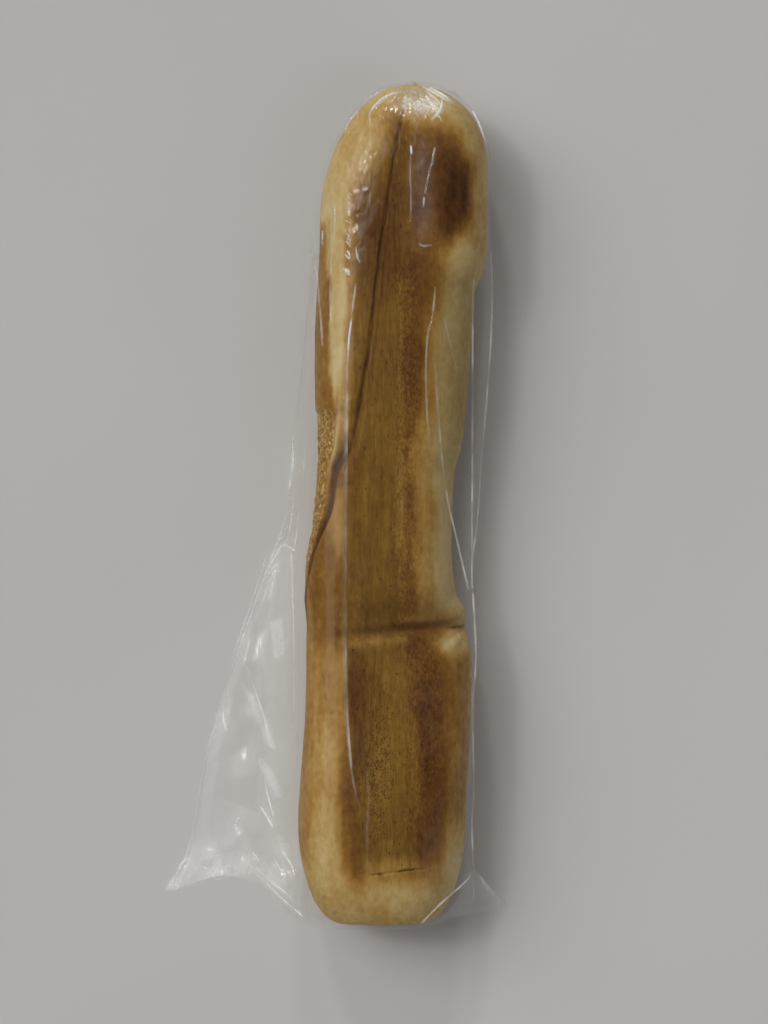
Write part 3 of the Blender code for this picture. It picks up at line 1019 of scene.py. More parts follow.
@dataclass
class Loaf:
    """The baked loaf, with its seam, kink, torn side and browned patches."""

    form: LoafForm
    right_columns: int = 92
    left_columns: int = 62
    near_columns: int = 14
    near_width: float = 5.6
    seam_points: tuple = (
        (0, -10.0, 0.0, 2.0), (60, -24.0, 0.0, 2.0), (120, -34.0, 0.0, 2.2),
        (166, -40.6, 1.2, 2.4), (181, -38.9, 2.6, 2.8), (209, -29.3, 4.2, 3.0),
        (225, -26.8, 4.4, 3.2), (238, -19.2, 3.6, 2.8), (257, -13.6, 2.0, 1.5),
        (293, -8.1, 0.9, 0.9), (339, -2.5, 0.8, 0.8), (402, 7.6, 0.9, 0.9),
        (421, 12.0, 0.0, 2.0),
    )
    lip_rise: float = 1.1
    torn: tuple = (160.0, 259.0, 1.5)
    kink_x: tuple = (-20.0, 44.0)
    kink_y: tuple = (145.0, 149.5)
    kink_depth: float = 2.7
    kink_half: float = 2.9
    kink_lip: tuple = (0.8, 6.5)
    kink_swale: tuple = (1.2, 9.0)
    kink_bend: float = 25.0
    bump: tuple = (36.0, 155.0, 1.0, 4.5)
    foot_crack: Points = ((-6.6, 26.1), (-1.5, 26.9), (2.0, 27.1), (9.0, 28.6), (18.2, 29.1))
    side_creases: tuple = (
        ((-24.7, 219.0), (-18.2, 220.5)),
        ((-34.3, 105.0), (-29.0, 106.8), (-22.7, 106.0)),
        ((-31.5, 126.0), (-30.0, 119.0), (-30.5, 113.0)),
    )
    strip_edge: Points = (
        (-28.6, 352.0), (-28.9, 335.0), (-27.9, 318.0), (-29.0, 300.0), (-28.2, 286.0),
        (-27.4, 274.0), (-28.3, 264.0),
    )
    strip_end: Points = ((-28.0, 265.0), (-24.0, 264.0), (-18.2, 261.4))
    centre_left: Points = (
        (20, -13), (60, -15), (140, -20), (240, -17),
        (262, -16), (330, -15.5), (376, -10), (400, 2),
    )
    centre_right: Points = (
        (20, 16), (57, 17.5), (98, 16), (113, 10), (140, 9),
        (220, 8), (300, 8), (376, 10), (400, 8),
    )
    # Ovals on the right side and at the foot: middle, reach, power of the edge, level.
    bump_ovals: tuple = (
        ((15, 345), (12, 42), 3, 0.76),
        ((31, 362), (14, 31), 2.8, 0.85),
        ((35.0, 364), (8.0, 22), 2.6, 0.95),
        ((24, 374), (10, 20), 2.6, 0.84),
        ((21, 330), (5, 26), 2.6, 0.70),
        ((38, 326), (9, 19), 2.6, 0.06),
        ((43, 393), (9, 13), 2.4, 0.18),
        ((14, 386), (15, 15), 2.6, 0.76),
        ((22, 47), (8, 13), 2.4, 0.84),
    )
    foot_ovals: tuple = (
        ((38, 24), (12, 25), 3, 0.03),
        ((21, 47), (8, 12), 2.4, 0.80),
        ((-15, 40), (6, 20), 3, 0.70),
        # The pale oval at (-32, 38) is a painted highlight on the lower left edge.
        ((-32, 38), (5, 20), 2.4, 0.15),
        ((2, 31), (16, 4), 2.4, 0.42),
    )

    def __post_init__(self) -> None:
        """Make the seam's smooth lines and the fields of small unevenness."""
        self.seam_x = SmoothLine([(y, x) for y, x, _, _ in self.seam_points])
        self.seam_depth = SmoothLine([(y, depth) for y, _, depth, _ in self.seam_points])
        self.seam_half = SmoothLine([(y, half) for y, _, _, half in self.seam_points])
        self.broad, self.small = SoftNoise(11), SoftNoise(12)

    def columns(self, y: float) -> tuple[np.ndarray, np.ndarray]:
        """Section points at y, close together at the seam.

        Args:
            y: Distance from the foot.

        Returns:
            Rows of (x, z), and how far each lies from the seam, right being positive.
        """
        left, right, low, high = self.form.reach(y, self.form.lines, self.form.foot)
        ring = self.form.section(left, right, low, high, self.form.base)
        lengths = arc_lengths(ring)
        upper = slice(0, DENSE // 2 + 1)
        wanted = np.clip(self.seam_x(y), left + 0.3, right - 3.0)
        at_seam = np.interp(wanted, ring[upper, 0], lengths[upper])
        to_right = lengths[DENSE * 3 // 4] - at_seam
        to_left = lengths[-1] - to_right
        near = min(self.near_width, 0.12 * to_right)
        close = np.linspace(0, near, self.near_columns)
        spread = np.linspace(0, 1, self.right_columns + 1)[1:] ** 1.15
        rightward = np.concatenate([close, near + spread * (to_right - near)])
        spread = np.linspace(0, 1, self.left_columns + 1)[1:-1] ** 1.15
        leftward = np.concatenate([close[1:], near + spread * (to_left - near)])
        offset = np.concatenate([rightward, -leftward[::-1]])
        return points_at(ring, lengths, (at_seam + offset) % lengths[-1]), offset

    def stations(self) -> np.ndarray:
        """Distances from the foot of the sections, closer at the ends, the crack and the kink.

        Returns:
            The distances in order.
        """
        turn = np.linspace(0, np.pi / 2, 24)
        foot = 24.0 * (1 - np.cos(turn))
        crack = np.arange(24.5, 31.0, 0.4)
        kink = np.arange(139.0, 157.0, 0.55)
        top = LOAF_LENGTH - 42.0 * (1 - np.cos(np.linspace(np.pi / 2, 0, 46)))
        lower = np.arange(31.5, 138.8, 1.12)
        upper = np.arange(157.5, 378.0, 1.12)
        return np.unique(np.round(np.concatenate([foot, crack, lower, kink, upper, top]), 3))

    def kink_line(self, x: np.ndarray) -> np.ndarray:
        """Distance from the foot of the kink's bottom, across the face."""
        return np.interp(x, self.kink_x, self.kink_y)

    def relief(self, x: np.ndarray, y: float, z: np.ndarray, offset: np.ndarray) -> np.ndarray:
        """Height of the seam, the torn side and the kink over the smooth loaf.

        Args:
            x: Places across.
            y: Places along.
            z: Heights over the floor.
            offset: Distances from the seam.

        Returns:
            Heights along the outward direction.
        """
        shown = eased((z - LOAF_MIDDLE) / 8.0)
        side = eased((z - 0.55 * LOAF_MIDDLE) / 8.0)
        half, depth = self.seam_half(y), self.seam_depth(y)
        relief = -depth * hump(offset, half) * side
        relief += self.lip_rise * depth / 4 * hump(offset - 2.3 * half, 1.4 * half) * shown
        torn_from, torn_to, torn_depth = self.torn
        torn = eased((y - torn_from) / 15) * eased((torn_to - y) / 5)
        relief -= torn_depth * torn * eased(-offset / 3) * side
        across = eased((x - self.kink_x[0] + 6) / 10) * shown
        past = y - self.kink_line(x)
        deep = 0.6 + 0.4 * eased((x - 2) / 16)
        relief -= self.kink_depth * deep * hump(past, self.kink_half) * across
        relief += self.kink_lip[0] * hump(past + self.kink_lip[1], 5.0) * across
        relief -= self.kink_swale[0] * hump(past - self.kink_swale[1], 6.0) * across
        bump_x, bump_y, bump_rise, bump_size = self.bump
        relief += bump_rise * hump(np.hypot(x - bump_x, y - bump_y), bump_size) * shown
        return relief

    def rings(self) -> tuple[np.ndarray, np.ndarray]:
        """The sections with their main relief.

        Returns:
            Array of (station, column, xyz), and each point's distance from the seam.
        """
        rings, offsets = [], []
        middle = sum(self.kink_y) / 2
        for y in self.stations():
            points, offset = self.columns(y)
            along = y + hump(y - middle, self.kink_bend) * (self.kink_line(points[:, 0]) - middle)
            relief = self.relief(points[:, 0], along, points[:, 1], offset)
            tangent = np.roll(points, -1, axis=0) - np.roll(points, 1, axis=0)
            normal = np.column_stack([-tangent[:, 1], tangent[:, 0]])
            normal /= np.maximum(np.hypot(*normal.T), 1e-9)[:, None]
            fade = eased(min(y, LOAF_LENGTH - y) / 12.0)
            moved = points + normal * (relief * fade)[:, None]
            rings.append(np.column_stack([moved[:, 0], along, moved[:, 1]]))
            offsets.append(offset)
        return np.array(rings), np.array(offsets)

    def capped(self, rings: np.ndarray, offsets: np.ndarray) -> tuple[np.ndarray, np.ndarray]:
        """Add shrinking sections that fill both flat ends, slightly domed.

        Args:
            rings: Array of (station, column, xyz).
            offsets: Distances from the seam.

        Returns:
            The sections and distances with those of both ends.
        """
        shares = (0.86, 0.68, 0.48, 0.28, 0.10)
        for end in End:
            tip = rings[0 if end is End.FOOT else -1]
            centre = tip.mean(axis=0)
            inner = np.array([centre + (tip - centre) * share for share in shares])
            inner[..., 1] += end.value * 0.5 * (1 - np.array(shares) ** 2)[:, None]
            far = np.full((len(shares), offsets.shape[1]), 40.0)
            if end is End.FOOT:
                rings = np.concatenate([inner[::-1], rings])
                offsets = np.concatenate([far, offsets])
            else:
                rings = np.concatenate([rings, inner])
                offsets = np.concatenate([offsets, far])
        return rings, offsets

    def torn_rim(self, y: np.ndarray) -> np.ndarray:
        """How far left of the seam the torn crumb starts."""
        return np.interp(y, (180, 209, 225, 238, 252, 262), (3.4, 3.8, 4.8, 9.0, 11.5, 12.0))

    def unevenness(
        self, p: np.ndarray, offset: np.ndarray, marks: dict[str, np.ndarray]
    ) -> np.ndarray:
        """Small relief of real crust: soft dents, grain, torn crumb and small creases.

        Args:
            p: Points of the loaf.
            offset: Distances from the seam.
            marks: The loaf's attributes by name.

        Returns:
            Heights along the outward direction.
        """
        x, y, z = p[..., 0], p[..., 1], p[..., 2]
        shown = eased((z - LOAF_MIDDLE) / 8.0)
        height = 0.40 * self.broad(p, (20, 30, 20)) + 0.18 * self.small(p, (5, 6.5, 5))
        height += (0.05 + 0.12 * marks["matte"]) * self.small(p, (1.9, 26, 1.9))
        rough = self.small(p, (2.2, 2.2, 2.2)) + 0.7 * self.broad(p, (1.3, 1.3, 1.3))
        height += 0.60 * marks["torn"] * rough
        height -= 0.5 * hump(along_path(x, y, self.foot_crack), 0.6) * shown
        for path in self.side_creases:
            height -= 0.45 * hump(along_path(x, y, path), 0.9) * shown
        height -= 0.75 * hump(along_path(x, y, self.strip_edge), 1.0) * shown
        height += 0.55 * hump(along_path(x, y, self.strip_end), 1.3) * shown
        rim = hump(offset + self.torn_rim(y) - 0.9, 1.3) * within(y, 200, 262, 14)
        height += 0.7 * rim * shown
        fan = np.arctan2(148.5 - y, 41.0 - x)
        spokes = np.sin(9 * fan) * patch(x, y, (34, 141), (8, 6)) * shown
        return height + 0.45 * spokes

    def places(self, p: np.ndarray) -> LoafPlaces:
        """Where the points lie among the loaf's differently baked places.

        Args:
            p: Points of the loaf.

        Returns:
            The places.
        """
        x, y, z = p[..., 0], p[..., 1], p[..., 2]
        shown = eased((z - 22.0) / 14.0)
        sx = x + 2.0 * self.broad(p, (12, 22, 12)) + 1.0 * self.small(p, (4, 9, 4))
        sx = sx + 0.8 * self.small(p, (2.0, 15, 2.0))
        sy = y + 3.0 * self.broad(p, (9, 18, 9)) + 1.6 * self.small(p, (3, 9, 3))
        centre_left = np.interp(y, *zip(*self.centre_left))
        centre_right = np.interp(y, *zip(*self.centre_right))
        sharp = 6 - 4 * within(y, 40, 138, 14)
        centre = eased((sx - centre_left) / 4 + 0.5)
        centre = centre * eased((centre_right - x - 0.4 * (sx - x)) / sharp + 0.5)
        centre = centre * within(sy, 27, 401, 24)
        right_of = eased((x + 0.4 * (sx - x) - centre_right) / sharp + 0.5)
        return LoafPlaces(x, y, sx, sy, shown, centre, right_of)

    def baked(self, p: np.ndarray, offset: np.ndarray, at: LoafPlaces) -> np.ndarray:
        """How far each place is baked, coat after coat, with some painted highlights among the
        coats.

        Args:
            p: Points of the loaf.
            offset: Distances from the seam.
            at: The points' places.

        Returns:
            Levels from 0 (cream) to 1 (scorched).
        """
        x, y, sx, sy, centre, right_of = at.x, at.y, at.sx, at.sy, at.centre, at.right_of
        baked = np.full(x.shape, 0.50) + 0.06 * self.broad(p, (35, 45, 35))

        def coat(share: np.ndarray, level: float) -> None:
            """Bring the places of the share to that level."""
            np.copyto(baked, baked + share * at.shown * (level - baked))

        # Left of the band.
        coat(within(sx, -60, -14, 10) * within(sy, -20, 150, 20), 0.38)
        coat(within(sx, -60, -20, 9) * within(sy, 136, 205, 24), 0.72)
        coat(patch(sx, sy, (-29, 112), (5.0, 32), 2.5), 0.49)
        coat(patch(sx, sy, (-29, 58), (3.8, 42), 2.5), 0.28)
        coat(within(sx, -60, -37, 5) * within(sy, 36, 200, 20), 0.53)
        coat(patch(sx, sy, (-17, 62), (7, 44), 3), 0.70)
        coat(patch(sx, sy, (-25, 172), (5, 24), 3), 0.60)
        coat(within(sx, -34, 12, 8) * within(sy, 150, 262, 14) * eased((offset + 2) / 4), 0.65)
        coat(patch(sx, sy, (-24, 205), (4.5, 20), 3), 0.40)
        coat(within(sx, -60, -15, 7) * within(sy, 262, 385, 22), 0.10)
        coat(patch(sx, sy, (-12.5, 362), (6.5, 17), 2.4), 0.72)
        coat(within(sx, -20.5, 0, 3) * within(sy, 258, 345, 16), 0.46)
        coat(within(sx, -60, -28.8, 1.6) * within(sy, 256, 352, 9), 0.57)
        coat(patch(sx, y, (-22, 252), (7, 15), 3), 0.40)
        coat(patch(sx, y, (-22, 232), (7, 13), 3), 0.70)
        # The dark centre band.
        coat(centre, 0.655)
        coat(centre * patch(sx, sy, (2, 82), (10, 24), 3), 0.60)
        coat(centre * within(sy, 318, 410, 50), 0.79)
        coat(centre * patch(sx, sy, (-14, 106), (6.5, 36), 3), 0.82)
        # Right of the band.
        coat(right_of * within(sy, 34, 152, 14), 0.74)
        coat(right_of * within(sy, 38, 150, 16) * eased((sx - 27) / 8), 0.52)
        coat(right_of * eased((sx - 38) / 7) * within(sy, 30, 150, 20), 0.38)
        coat(right_of * within(y, 148, 420, 8), 0.36)
        coat(right_of * within(sx, 0, 14.5, 6) * within(sy, 150, 330, 14), 0.69)
        coat(right_of * eased((sx - 20) / 9) * within(y, 150, 376, 10), 0.12 - 0.08 * (y < 240))
        coat(right_of * within(sx, 5, 19, 10) * within(sy, 256, 345, 44), 0.77)
        for middle, reach, power, level in self.bump_ovals:
            coat(patch(sx, sy, middle, reach, power), level)
        coat(right_of * patch(sx, sy, (19, 98), (9, 42), 3), 0.80)
        # Painted highlights: the lit lip below the kink and the pale fan of the dimple there.
        lit = y - self.kink_line(x) + 4.2
        coat(hump(lit, 2.4) * within(x, -19, 10, 5), 0.54)
        coat(patch(x, y, (34, 141), (9.0, 6.5), 2.4), 0.0)
        # A paler strip just above the kink on the right.
        coat(patch(sx, y, (30, 153.5), (14, 4.5), 2.4), 0.30)
        # The top end.
        # Paler over the top end: a painted highlight where it catches the light, over its pale
        # tone.
        coat(within(sy, 404, 440, 20), 0.16)
        coat(patch(sx, sy, (-14, 390), (15, 22), 3), 0.27)
        coat(patch(sx, sy, (-22, 372), (6, 14), 2.4), 0.13)
        coat(eased((sx - 41) / 7) * within(sy, 335, 400, 20), 0.30)
        # The foot.
        coat(eased((30 - sy - 0.12 * (sx - 10)) / 14), 0.23)
        for middle, reach, power, level in self.foot_ovals:
            coat(patch(sx, sy, middle, reach, power), level)
        return baked

    def marks(self, p: np.ndarray, offset: np.ndarray) -> dict[str, np.ndarray]:
        """How each place is baked and marked.

        Args:
            p: Points of the loaf.
            offset: Distances from the seam.

        Returns:
            Attributes by name: baked from 0 (cream) to 1 (scorched), with some painted highlights
                and shade in it,
            and shares of dull surface, open pores, torn crumb, the speckled band with painted
            glints, painted shade on the right side and painted shade in creases.
        """
        at = self.places(p)
        x, y, z, sx, sy = at.x, at.y, p[..., 2], at.sx, at.sy
        shown, centre = at.shown, at.centre
        baked = self.baked(p, offset, at)
        torn = eased((y - 163) / 14) * eased((259 - y + 3 * self.small(p, (2, 9, 2))) / 4)
        rim = self.torn_rim(y)
        torn = torn * eased((-offset - rim + 1.2 * self.small(p, (9, 6, 9))) / 1.6)
        torn = torn * eased((z - 24) / 8)
        baked += torn * (0.42 - baked)
        # Painted highlight along the torn lip, as a cream level.
        lip = hump(offset + rim - 0.9, 1.2) * within(y, 200, 262, 14) * shown
        baked += 0.9 * lip * (0.10 - baked)
        # Painted shade in the groove of the lower seam, as a darker brown level.
        groove = hump(offset + 1.4, 3.0) * within(y, 158, 236, 16) * shown
        baked += 0.85 * groove * (0.72 - baked)
        matte = np.clip(centre * shown + 0.4 * torn, 0, 1)
        pored = patch(sx, sy, (-3.5, 78), (7.5, 36), 3) * shown
        pored = pored + centre * shown * (0.16 + 0.22 * within(sy, 20, 156, 20))
        pored = np.clip(pored + 0.6 * torn, 0, 1)
        # The speckled band, which also carries the painted glints.
        speckle_and_glint = within(sx, 4.5, 15, 3) * within(sy, 142, 330, 16)
        speckle_and_glint = np.maximum(speckle_and_glint, 0.8 * within(sx, 9, 28, 6) * within(sy, 46, 142, 16)) * shown
        # Painted shade on the right side, which faces away from the lamps; none at the pale fan by
        # the kink.
        painted_right_shade = 0.8 * eased((sx - 17) / 10) * within(y, 150, 326, 26)
        painted_right_shade = painted_right_shade * (0.3 + 0.7 * eased((y - 196) / 60))
        painted_right_shade = painted_right_shade * (1 - patch(x, y, (34, 143), (14, 12), 2.4)) * shown
        return {
            "baked": np.clip(baked, 0, 1), "matte": matte, "pored": pored, "torn": torn,
            "speckle_and_glint": speckle_and_glint, "painted_right_shade": painted_right_shade, "painted_crease_shade": self.creases(p, offset) * shown,
        }

    def creases(self, p: np.ndarray, offset: np.ndarray) -> np.ndarray:
        """How dark the painted shade is in the seam, the kink and the band above it, the crack, the
        small creases and a few small holes.

        Args:
            p: Points of the loaf.
            offset: Distances from the seam.

        Returns:
            Shares from 0 to 1.
        """
        x, y = p[..., 0], p[..., 1]
        # Painted shade: a thin dark line in the seam.
        waver = offset + 0.8 * self.small(p, (6, 6, 6)) + 0.35 * self.broad(p, (2, 2.6, 2))
        strength = 0.62 + 0.38 * self.broad(p, (3, 9, 3))
        marks = [1.1 * hump(waver, 0.55) * within(y, 250, 409, 8) * strength]
        # Painted shade beside the seam.
        soft = hump(offset - 0.6, 2.0) * within(y, 262, 396, 16)
        marks.append(0.08 * soft)
        beside = hump(waver - 2.7 - 0.8 * self.broad(p, (9, 16, 9)), 0.42) * within(y, 235, 318, 20)
        marks.append(0.5 * beside * strength)
        # Painted shade in the groove of the lower seam.
        broad = hump(offset + 0.9, 3.0) * within(y, 150, 244, 16)
        marks.append(0.66 * broad)
        marks.append(0.70 * hump(offset + 0.2, 1.2) * within(y, 168, 262, 10))
        # Painted shade of the kink: a sharp line at its right end and a wide soft shade above it.
        past = y - self.kink_line(x)
        ragged = past + 0.6 * self.small(p, (4, 4, 4))
        sharp = 0.7 * eased((x - 26) / 8)
        marks.append(sharp * hump(ragged, 0.8) * within(x, -18, 42, 6))
        middle = eased((x + 18) / 10) * (0.55 + 0.45 * within(x, 2, 30, 12)) * eased((39 - x) / 10)
        marks.append(0.70 * hump(past - 2.6, 5.0) * middle)
        marks.append(0.54 * hump(past - 7.5, 10.0) * middle)
        dashes = eased(0.40 + 1.3 * self.small(p, (2.0, 2.0, 2.0)))
        marks.append(0.9 * hump(along_path(x, y, self.foot_crack), 0.55) * dashes)
        for path in self.side_creases:
            away = along_path(x, y + 0.5 * self.small(p, (2, 2, 2)), path)
            marks.append(0.40 * hump(away, 0.7) * dashes)
        strip = along_path(x + 0.5 * self.small(p, (3, 3, 3)), y, self.strip_edge)
        marks.append(0.45 * hump(strip, 0.65) * strength)
        # Painted shade in a few small holes.
        for hole in ((-30.8, 14.0), (-25.3, 6.9), (38.0, 34.0)):
            marks.append(0.6 * patch(x, y, hole, (0.7, 0.9)))
        return np.clip(np.maximum.reduce(marks), 0, 1)

    def build(self, place: FootFrame, finish: Material) -> Object:
        """Build the loaf.

        Args:
            place: Where the loaf's frame lies.
            finish: The crust's material.

        Returns:
            The loaf as one closed piece.
        """
        rings, offsets = self.capped(*self.rings())
        marks = self.marks(rings, offsets)
        height = self.unevenness(rings, offsets, marks)
        rings = rings + skin_normals(rings) * height[..., None]
        rings[..., 2] = np.maximum(rings[..., 2], self.form.base)
        mesh = closed_mesh("loaf_crust", rings, place)
        for name, values in marks.items():
            ends = [values[0].mean(), values[-1].mean()]
            keep_values(mesh, name, np.concatenate([values.ravel(), ends]))
        piece = make_piece("loaf_crust", mesh, finish)
        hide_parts("loaf")
        return piece


@dataclass
class FilmBag:
    """The clear bag: one skin of film round the loaf, with a wing, an ear and a gathered mouth."""

    form: LoafForm
    grow_points: Points = ((-2.0, 1.75), (325.0, 1.75), (378.0, 0.95), (421.0, 0.95))
    shown_columns: int = 104
    hidden_columns: int = 40
    wing_columns: int = 44
    ear_columns: int = 14
    foot: tuple = (-8.5, 29.5, 40.0)
    left_points: Points = (
        (50, -44.6), (110, -42.7), (174, -42.5), (212, -39.2), (290, -36.5), (350, -33.5),
    )
    right_points: Points = (
        (50, 41.8), (142, 43.7), (182, 41.8), (228, 45.4), (263, 48.9), (313, 52.0), (372, 51.7),
    )
    over_points: Points = (
        (0, 57.2), (60, 58.9), (148, 57.6), (230, 57.9), (300, 58.9), (370, 59.8), (420, 58.3),
    )
    wing_points: Points = (
        (12, -114.0), (24, -105.0), (41, -99.0), (82, -92.0), (129, -78.3),
        (175, -61.6), (205, -50.5), (234, -48.5), (280, -44.4), (318, -41.0),
        (336, -39.4), (352, -34.0),
    )
    wing_end: float = 352.0
    wing_skew: tuple = (13.6, 300.0)
    hem_rise: tuple = (15.0, 40.0)
    wing_thick: float = 1.4
    wing_drape: float = 3.2
    wing_flat: tuple = (4.0, 45.0)
    wing_arcs: tuple = (7.0, 40.0)
    ear_points: Points = ((5, 61.6), (12, 56.0), (20, 49.5), (28, 44.0), (34, 42.4))
    ear_skew: tuple = (8.0, 32.0)
    ear_height: float = 11.0
    ear_thick: float = 1.2
    ear_arc: float = 9.0
    mouth: tuple = (13.0, 25.0, 3.4)
    body_crumple: Crumple = field(default_factory=lambda: Crumple(21, 4, 13.0, 0.35))
    fine_crumple: Crumple = field(default_factory=lambda: Crumple(51, 5, 6.5, 1.5))
    wing_crumple: Crumple = field(default_factory=lambda: Crumple(31, 4, 26.0, 1.2))
    hem_crumple: Crumple = field(default_factory=lambda: Crumple(41, 4, 10.0, 1.5))
    wing_panes: tuple[Points, ...] = (
        ((-75.0, 121.0), (-62.0, 104.0), (-56.0, 85.0), (-61.0, 87.0)),
        ((-68.5, 84.0), (-58.0, 74.0), (-52.0, 59.0), (-57.0, 62.0)),
        ((-66.0, 57.0), (-60.0, 53.0), (-57.0, 45.5)),
        ((-60.0, 150.0), (-53.0, 152.0), (-52.0, 134.0), (-57.0, 131.0)),
        ((-88.0, 30.0), (-76.0, 33.0), (-73.0, 22.0), (-90.0, 19.0)),
        ((-56.0, 40.0), (-46.0, 33.0), (-44.0, 20.0), (-51.0, 27.0)),
    )
    crinkled_spots: tuple = (
        (1, (-18.5, 345), (3.5, 20)),
        (1, (-31, 340), (6, 16)),
        (1, (47, 398), (8, 14)),
        (1, (21, 380), (7, 16)),
        (1, (52, 14), (16, 18)),
        (1, (-44, 20), (10, 22)),
        (0.35, (-30, 300), (7, 30)),
    )
    crossings: Points = (
        (-53.0, 192.0), (-58.0, 177.0), (-82.5, 98.0), (-60.0, 50.0), (-76.0, 48.0),
    )

    def __post_init__(self) -> None:
        """Make the film's smooth lines."""
        self.lines = tuple(
            SmoothLine(points) for points in (self.left_points, self.right_points, self.over_points)
        )
        self.wing_edge = SmoothLine(self.wing_points)
        self.ear_edge = SmoothLine(self.ear_points)
        self.grow = SmoothLine(self.grow_points)
        self.half = self.wing_columns + self.shown_columns + self.ear_columns
        self.around = self.half + self.wing_columns + self.hidden_columns + self.ear_columns
        self.rows: np.ndarray = np.zeros((0, 0, 3))
        self.section_at = lru_cache(maxsize=4096)(self.section)

    def section(self, y: float, grow: float) -> np.ndarray:
        """Dense section of the film at y.

        Args:
            y: Distance from the loaf's foot.
            grow: How far the film stands off its lines.

        Returns:
            Rows of (x, z).
        """
        foot, top = self.grow_points[0][1], self.grow_points[-1][1]
        inside = (y + foot) * LOAF_LENGTH / (LOAF_LENGTH + foot + top)
        left, right, low, high = self.form.reach(inside, self.lines, self.foot)
        return self.form.section(left - grow, right + grow, low - grow, high + grow, 2.0 - grow)

    def columns(self, y: float) -> np.ndarray:
        """Film points at y: over the top from the left tip, then back under to it.

        Args:
            y: Distance from the foot.

        Returns:
            Rows of (x, y, z).
        """
        ring = self.section(y, float(self.grow(y)))
        lengths = arc_lengths(ring)
        right, end = lengths[DENSE // 2], lengths[-1]
        over = min(self.wing_arcs[0], right / 4)
        flat_from, flat_by = self.wing_flat
        flat = eased((y - flat_from) / (flat_by - flat_from))
        under = over + flat * (min(self.wing_arcs[1], (end - right) / 3) - over)
        ear = min(self.ear_arc, right / 8)
        places = np.concatenate(
            [
                np.linspace(0, over, self.wing_columns + 1),
                np.linspace(over, right - ear, self.shown_columns + 1)[1:],
                np.linspace(right - ear, right + ear, 2 * self.ear_columns + 1)[1:],
                np.linspace(right + ear, end - under, self.hidden_columns + 1)[1:],
                np.linspace(end - under, end, self.wing_columns + 1)[1:-1],
            ]
        )
        points = points_at(ring, lengths, places)
        return np.column_stack([points[:, 0], np.full(len(points), y), points[:, 1]])

    def outside_body(self, point: np.ndarray) -> np.ndarray:
        """A point of the wing, moved out to the body's left side or down under it.

        Args:
            point: A place as (x, y, z).

        Returns:
            The place, moved where needed.
        """
        y = round(float(point[1]), 1)
        section = self.section_at(y, float(self.grow(y)))
        upper = point[2] >= LOAF_MIDDLE
        rising = section[: DENSE // 4 + 1] if upper else section[DENSE * 3 // 4 :]
        beside = np.interp(point[2], rising[:, 1], rising[:, 0])
        if point[0] <= beside:
            return point
        under = section[DENSE * 3 // 4 :][::-1]
        below = np.interp(point[0], under[:, 0], under[:, 1])
        moved = point.copy()
        if point[0] - beside < point[2] - below:
            moved[0] = beside
        else:
            moved[2] = below
        return moved

    def pull_wing(self, ring: np.ndarray, y: float) -> None:
        """Draw the columns at the left tip out into the flat double layer of the wing.

        Args:
            ring: The section's rows of (x, y, z), changed in place.
            y: Distance from the foot.
        """
        skew, skew_end = self.wing_skew
        tip_y = y + skew * np.clip(1 - y / skew_end, 0, 1)
        tip_x = self.wing_edge(tip_y)
        width = (ring[0, 0] - tip_x) * eased((self.wing_end - y) / 16.0)
        if width <= 0:
            return
        strength = eased(width / 8.0)
        rise = self.hem_rise[0] * np.exp(-(y + 2) / self.hem_rise[1])
        share = 1 - np.arange(1, self.wing_columns) / self.wing_columns
        drape = (1 - share) ** self.wing_drape
        for layer in Layer:
            anchor = ring[layer.value * self.wing_columns].copy()
            lift = self.wing_thick if layer is Layer.OVER else 0.0
            wing = np.column_stack(
                [
                    anchor[0] + share * (tip_x - anchor[0]),
                    y + share * (tip_y - y) + rise * np.sin(np.pi * share) ** 1.5,
                    lift + (anchor[2] - lift) * drape,
                ]
            )
            k = layer.value * np.arange(1, self.wing_columns)
            moved = ring[k] + strength * (wing - ring[k])
            ring[k] = [self.outside_body(point) for point in moved]
        tip = np.array([tip_x, tip_y, self.wing_thick / 2])
        ring[0] += strength * (tip - ring[0])

    def pull_ear(self, ring: np.ndarray, y: float) -> None:
        """Draw the columns at the right tip out into the small ear at the foot.

        Args:
            ring: The section's rows of (x, y, z), changed in place.
            y: Distance from the foot.
        """
        skew, skew_end = self.ear_skew
        tip_y = y + skew * np.clip(1 - y / skew_end, 0, 1)
        width = self.ear_edge(tip_y) - ring[self.half, 0]
        strength = eased(width / 4.0) * eased((skew_end - y) / 6.0)
        if strength <= 0:
            return
        tip = np.array([self.ear_edge(tip_y), tip_y, self.ear_height])
        share = (1 - np.arange(1, self.ear_columns) / self.ear_columns)[:, None]
        for layer in Layer:
            anchor = ring[self.half - layer.value * self.ear_columns].copy()
            edge = self.ear_height + layer.value * self.ear_thick / 2
            ear = anchor + share * (tip - anchor)
            ear[:, 2] = edge + (anchor[2] - edge) * (1 - share[:, 0]) ** 1.3
            k = self.half - layer.value * np.arange(1, self.ear_columns)
            ring[k] += strength * (ear - ring[k])
        ring[self.half] += strength * (tip - ring[self.half])

    def stations(self) -> np.ndarray:
        """Distances from the foot of the film's sections, closer at the ends.

        Returns:
            The distances in order.
        """
        foot = 24.0 * (1 - np.cos(np.linspace(0, np.pi / 2, 26))) - self.grow_points[0][1]
        middle = np.arange(24.0, 378.0, 1.32)
        end = LOAF_LENGTH + self.grow_points[-1][1]
        top = end - 42.0 * (1 - np.cos(np.linspace(np.pi / 2, 0, 56)))
        return np.unique(np.round(np.concatenate([foot, middle, top]), 3))

